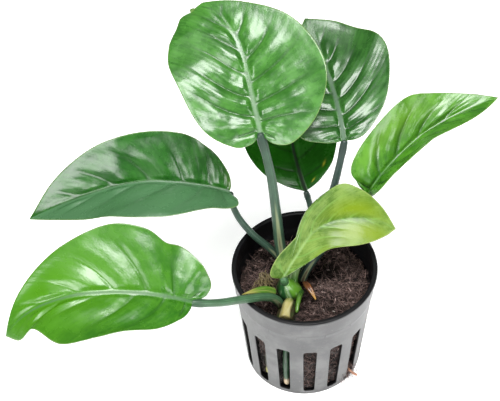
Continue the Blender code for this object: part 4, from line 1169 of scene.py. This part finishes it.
def side_outline(side, length, share):
    """Margin of half a blade in flat coordinates (along the midrib, out from it), in millimetres.

    A smooth curve through the base, three points of the basal lobe, the widest
    point, two points of the taper and the tip. Wedge mixes a heart-shaped lobe
    with a wedge-shaped base; a bite is a rounded notch taken off the width.
    """
    width, lobe, belly = side["width"], side["lobe"], side["belly"]
    heart = [(-0.75 * lobe, 0.16 * width), (-lobe, 0.42 * width),
             (0.07 * belly * length - 0.25 * lobe, 0.80 * width)]
    wedge = [(0.12 * belly * length, 0.17 * width), (0.30 * belly * length, 0.42 * width),
             (0.60 * belly * length, 0.77 * width)]
    if "waist" in side:
        wedge = [(-0.5 * lobe, 0.45 * width), (0.5 * lobe, 0.55 * width),
                 (0.60 * belly * length, side["waist"] * width)]
    mix = side["wedge"]
    points = [(0.0, 0.0)]
    points += [((1 - mix) * a[0] + mix * b[0], (1 - mix) * a[1] + mix * b[1]) for a, b in zip(heart, wedge)]
    points += [(belly * length, width)]
    points += [((belly + (1 - belly) * q) * length, (1 - q ** side["full"]) * width) for q in (0.40, 0.75)]
    if "blunt" in side:
        points += [(0.99 * length, side["blunt"] * width)]
    points = np.array(points + [(length, 0.0)])
    slope = np.empty_like(points)
    slope[1:-1] = (points[2:] - points[:-2]) / 2
    slope[0] = points[1] - points[0]
    slope[-1] = points[-1] - points[-2]
    place = share * (len(points) - 1)
    cell = np.clip(place.astype(int), 0, len(points) - 2)
    t = (place - cell)[..., None]
    margin = ((2 * t**3 - 3 * t**2 + 1) * points[cell] + (t**3 - 2 * t**2 + t) * slope[cell]
              + (3 * t**2 - 2 * t**3) * points[cell + 1] + (t**3 - t**2) * slope[cell + 1])
    if "bite" in side:
        place, reach, depth = side["bite"]
        margin[..., 1] -= depth * np.exp(-((margin[..., 0] / length - place) / reach) ** 2)
    return margin


def half_blade(blade, name, sign, share, t):
    """Middle surface of half a blade, from the midrib (t 0) to the margin (t 1), in millimetres.

    Each row leaves the midrib and sweeps to the margin. The half is folded up
    along a rounded crease and curled in an arc, then laid on the midrib's curve.
    """
    fine = np.linspace(0.0, 1.0, 400)
    midrib = spline_through(blade["midrib"], fine)
    arc = np.concatenate([[0.0], np.cumsum(np.linalg.norm(np.diff(midrib, axis=0), axis=1))])
    length = arc[-1]
    along = np.gradient(midrib, arc, axis=0)
    along /= np.linalg.norm(along, axis=1)[:, None]
    tilt = np.radians(np.interp(arc / length, (0.0, 0.5, 1.0), blade["face"]))
    face = np.stack([np.zeros_like(tilt), -np.sin(tilt), np.cos(tilt)], axis=-1)
    up = face - np.sum(face * along, axis=1)[:, None] * along
    up /= np.linalg.norm(up, axis=1)[:, None]
    chord = (midrib[-1] - midrib[0]) / np.linalg.norm(midrib[-1] - midrib[0])
    out = np.cross(up, MIDRIB_SWAY * along + (1 - MIDRIB_SWAY) * chord)
    out /= np.linalg.norm(out, axis=1)[:, None]

    def at(table, place):
        """Values of a table kept along the midrib, at the given lengths along it."""
        return np.stack([np.interp(place, arc, table[:, axis]) for axis in range(3)], axis=-1)

    side = blade[name]
    margin = side_outline(side, length, share)
    start = length * (0.04 * share + 0.96 * share ** MIDRIB_LEAD)
    x = start + (margin[..., 0] - start) * t ** ROW_BEND
    y = np.maximum(margin[..., 1], 0.0) * t
    on_rib = np.clip(x, 0.0, length)
    fold = np.radians(np.interp(on_rib / length, (0.0, 0.5, 1.0), side["fold"]))
    curl = np.radians(np.interp(on_rib / length, (0.0, 0.5, 1.0), side.get("curl", (0, 0, 0))))
    turn = np.where(np.abs(curl) < 1e-5, 1e-5, curl) / side["width"]
    outward = (np.sin(fold + turn * y) - np.sin(fold)) / turn
    rounded = np.sqrt(y * y + CREASE_RADIUS ** 2) - CREASE_RADIUS
    upward = (np.cos(fold) - np.cos(fold + turn * rounded)) / turn
    point = at(midrib, on_rib) + np.minimum(x, 0.0)[..., None] * along[0]
    point += sign * outward[..., None] * at(out, on_rib) + upward[..., None] * at(up, on_rib)
    row_length = np.hypot(margin[..., 0] - start, np.maximum(margin[..., 1], 0.0))
    return point, x / length, y, (1 - t) * row_length


def step_up(value, low, high):
    """0 below low, 1 above high, smooth between."""
    t = np.clip((value - low) / (high - low), 0.0, 1.0)
    return t * t * (3 - 2 * t)


def blade_grid(blade):
    """The closed blade, in metres, with its attributes on the same grid.

    Over the middle surface lie the quilts, |sin| of the vein count, fading at
    midrib and margin, and the margin's waves. The upper skin has a flat midrib
    between two grooves, the underside a round rib. Both skins meet at the
    margin, where the thickness ends in a quarter round.
    """
    rows = np.linspace(0.0, 1.0, BLADE_ROWS + 1)
    columns = 1 - (1 - np.linspace(0.0, 1.0, BLADE_COLUMNS + 1)) ** 1.35
    share, t = np.meshgrid(rows, columns, indexing="ij")
    halves = [half_blade(blade, name, sign, share, t) for name, sign in (("left", 1.0), ("right", -1.0))]

    def joined(left, right):
        """The two halves side by side, sharing the column on the midrib."""
        return np.concatenate([left[:, ::-1], right[:, 1:]], axis=1)

    surface, run, out, edge = [joined(a, b) for a, b in zip(*halves)]
    share, t = joined(share, share), joined(t, t)
    sign = joined(np.ones_like(halves[0][2]), -np.ones_like(halves[1][2]))
    across = np.gradient(surface, axis=1)
    along = np.gradient(surface, axis=0)
    normal = np.cross(across, along)
    size = np.linalg.norm(normal, axis=2, keepdims=True)
    normal /= np.maximum(size, 1e-12)
    normal[0], normal[-1] = normal[2], normal[-3]
    normal[1], normal[-2] = normal[2], normal[-3]

    phase = blade["veins"] * (BASAL_VEINS * share + (1 - BASAL_VEINS) * share ** MIDRIB_LEAD)
    phase = phase + 0.2 * (1 - sign)
    flat = np.stack([run * 60, sign * out, np.zeros_like(out)], axis=-1)
    lumps = waves(flat, 13.0, blade["seed"])
    quilt = np.abs(np.sin(math.pi * phase)) ** 0.75 - 0.35
    near_rib = step_up(out, 0.7, 2.6)
    fading = 1 - step_up(t, blade["reach"] - 0.35, blade["reach"] + 0.15)
    ends = step_up(share, 0.0, 0.12) * (1 - step_up(share, 0.86, 0.98))
    height = blade["quilt"] * quilt * near_rib * fading * ends * (1 + 0.30 * lumps)
    height += 0.05 * blade["quilt"] * waves(flat, 3.2, blade["seed"] + 20) * near_rib * (1 - t)
    height += 0.03 * blade["quilt"] * np.sin(math.tau * 4 * phase) * near_rib * (1 - 0.6 * t)
    height += 0.16 * lumps * t * step_up(edge, 0.0, 3.0)
    inside = step_up(share, 0.0, 0.04) * step_up(1 - share, 0.0, 0.04)
    for side, middle, wide, tall, power in blade["waves"]:
        height += inside * (sign == side) * tall * np.exp(-((share - middle) / wide) ** 2) * t ** power

    thick = np.sqrt(np.clip(1 - (1 - np.clip(edge / MARGIN_ROUND, 0.0, 1.0)) ** 2, 0.0, 1.0))
    tapering = np.clip(1 - run, 0.0, 1.0) ** 0.7
    rib_shown = step_up(1 - run, *blade["rib_fades"])
    rib_top = 0.10 * np.exp(-(out / 0.6) ** 4) - 0.22 * np.exp(-((out - 1.1) / 0.5) ** 2)
    rib_top = blade["rib"] * (0.3 + 0.7 * rib_shown) * rib_top
    rib_under = 0.85 * np.exp(-(out / 1.0) ** 2)
    vein_under = 0.22 * np.exp(-(np.sin(math.pi * phase) / 0.28) ** 2) * near_rib * (1 - t) * ends
    half = BLADE_THICKNESS / 2 * thick * (0.45 + 0.55 * (1 - t ** 2))
    upper = surface + normal * (height + half + rib_top * tapering * thick)[..., None]
    lower = surface + normal * (height - half - (rib_under * tapering + vein_under) * thick)[..., None]
    points = np.concatenate([upper, lower[:, ::-1][:, 1:]], axis=1) * MM

    def on_both(values):
        """Values of the upper skin, followed by the same for the underside run backwards."""
        return np.concatenate([values, values[:, ::-1][:, 1:]], axis=1)

    patch = np.zeros_like(t)
    for side, middle, place, wide, tall, strength in blade["patches"]:
        distance = ((share - middle) / wide) ** 2 + ((t - place) / tall) ** 2
        patch += (sign == side) * strength * np.exp(-distance)
    under = np.concatenate([np.zeros_like(t), np.ones_like(t)[:, 1:]], axis=1)
    rib = blade["rib"] * np.exp(-(out / (0.28 + 0.42 * tapering)) ** 4) * rib_shown
    attributes = {"lateral": on_both(phase), "across": on_both(t), "edge": on_both(edge),
                  "rib": on_both(rib), "patch": on_both(np.clip(patch, 0.0, 1.0)),
                  "side": on_both(sign), "under": under}
    return points, attributes


def build_leaf_tissue():
    """Leaf colour: mottled tissue with darker side veins and fine lines along them.

    Over it lie the paler near half, which is painted sheen, the patches, the midrib,
    dark specks, the underside and the margin, each by its own mask.
    """
    keys = ("Light", "Dark", "Vein", "Midrib", "Margin", "Under", "Patch", "Near")
    sockets = {key: ("color", (0.1, 0.3, 0.1, 1.0)) for key in keys}
    sockets["Near Share"] = ("number", 0.0)
    tree, given, result = new_group("leaf_tissue", sockets,
                                    {"Color": "color", "Roughness": "number", "Height": "number"})
    lateral, across, rib, under = [read(tree, name) for name in ("lateral", "across", "rib", "under")]
    place = own_place(tree)
    mottle = noise(tree, 0.007, 4.0, 0.6, place=place)
    lines = lined_noise(tree, [times(tree, lateral, 9.0), times(tree, across, 5.0), under], 3.0, 0.65)
    cells = add_node(tree, "ShaderNodeTexVoronoi", {"Vector": place, "Scale": 1500.0}, feature="F1")
    wave = calculate(tree, "ABSOLUTE", calculate(tree, "SINE", times(tree, lateral, math.pi)))
    vein = one_minus(tree, ramp_between(tree, wave, 0.03, 0.36))
    vein = times(tree, vein, one_minus(tree, ramp_between(tree, across, 0.55, 1.0)))
    share = calculate(tree, "MULTIPLY_ADD", mottle, 0.7, times(tree, lines, 0.5))
    color = blend_colors(tree, ramp_between(tree, share, 0.42, 0.80), given["Dark"], given["Light"])
    color = blend_colors(tree, times(tree, vein, 0.75), color, given["Vein"])
    near = times(tree, ramp_between(tree, read(tree, "side"), -0.1, 0.1), given["Near Share"])
    color = blend_colors(tree, near, color, given["Near"])
    color = blend_colors(tree, read(tree, "patch"), color, given["Patch"])
    color = blend_colors(tree, rib, color, given["Midrib"])
    speck = ramp_between(tree, noise(tree, 0.0011, 2.0, 0.5, place=place), 0.70, 0.76)
    color = blend_colors(tree, times(tree, speck, 0.55), color, given["Dark"])
    below = times(tree, calculate(tree, "MULTIPLY_ADD", lines, 0.35, 0.72), under)
    color = blend_colors(tree, below, color, given["Under"])
    rim = one_minus(tree, ramp_between(tree, read(tree, "edge"), 0.05, 0.50))
    color = blend_colors(tree, times(tree, rim, 0.55), color, given["Margin"])
    rough = calculate(tree, "MULTIPLY_ADD", under, 0.22, calculate(tree, "MULTIPLY_ADD", mottle, 0.16, 0.19))
    rough = calculate(tree, "MULTIPLY_ADD", rib, 0.40, rough)
    relief = calculate(tree, "MULTIPLY_ADD", cells.outputs["Distance"], 0.35, lines)
    tree.links.new(color, result.inputs["Color"])
    tree.links.new(rough, result.inputs["Roughness"])
    tree.links.new(relief, result.inputs["Height"])
    return tree


LEAF_TISSUE = build_leaf_tissue()
for name, blade in BLADES.items():
    blade = {**USUAL_BLADE, **blade}
    colors = {**LEAF_GREEN, **blade["colors"]}
    # A listed near colour paints the near half paler, as painted sheen.
    near_share = 0.85 if "near" in colors else 0.0
    colors.setdefault("near", colors["light"])
    material, tree, shader = principled(name + "_tissue", Specular_IOR_Level=blade["gloss"])
    painted = {key.capitalize(): (*value, 1.0) for key, value in colors.items()}
    tissue = use_group(tree, LEAF_TISSUE, Near_Share=near_share, **painted)
    tree.links.new(tissue["Roughness"], shader.inputs["Roughness"])
    paint(tree, shader, tissue["Color"], tissue["Height"], 0.04 * MM)
    points, attributes = blade_grid(blade)
    piece = piece_from_grids(name + "_blade", [points], BLADE_WELD, attributes)
    place_piece(piece, blade["slot"], material, name)
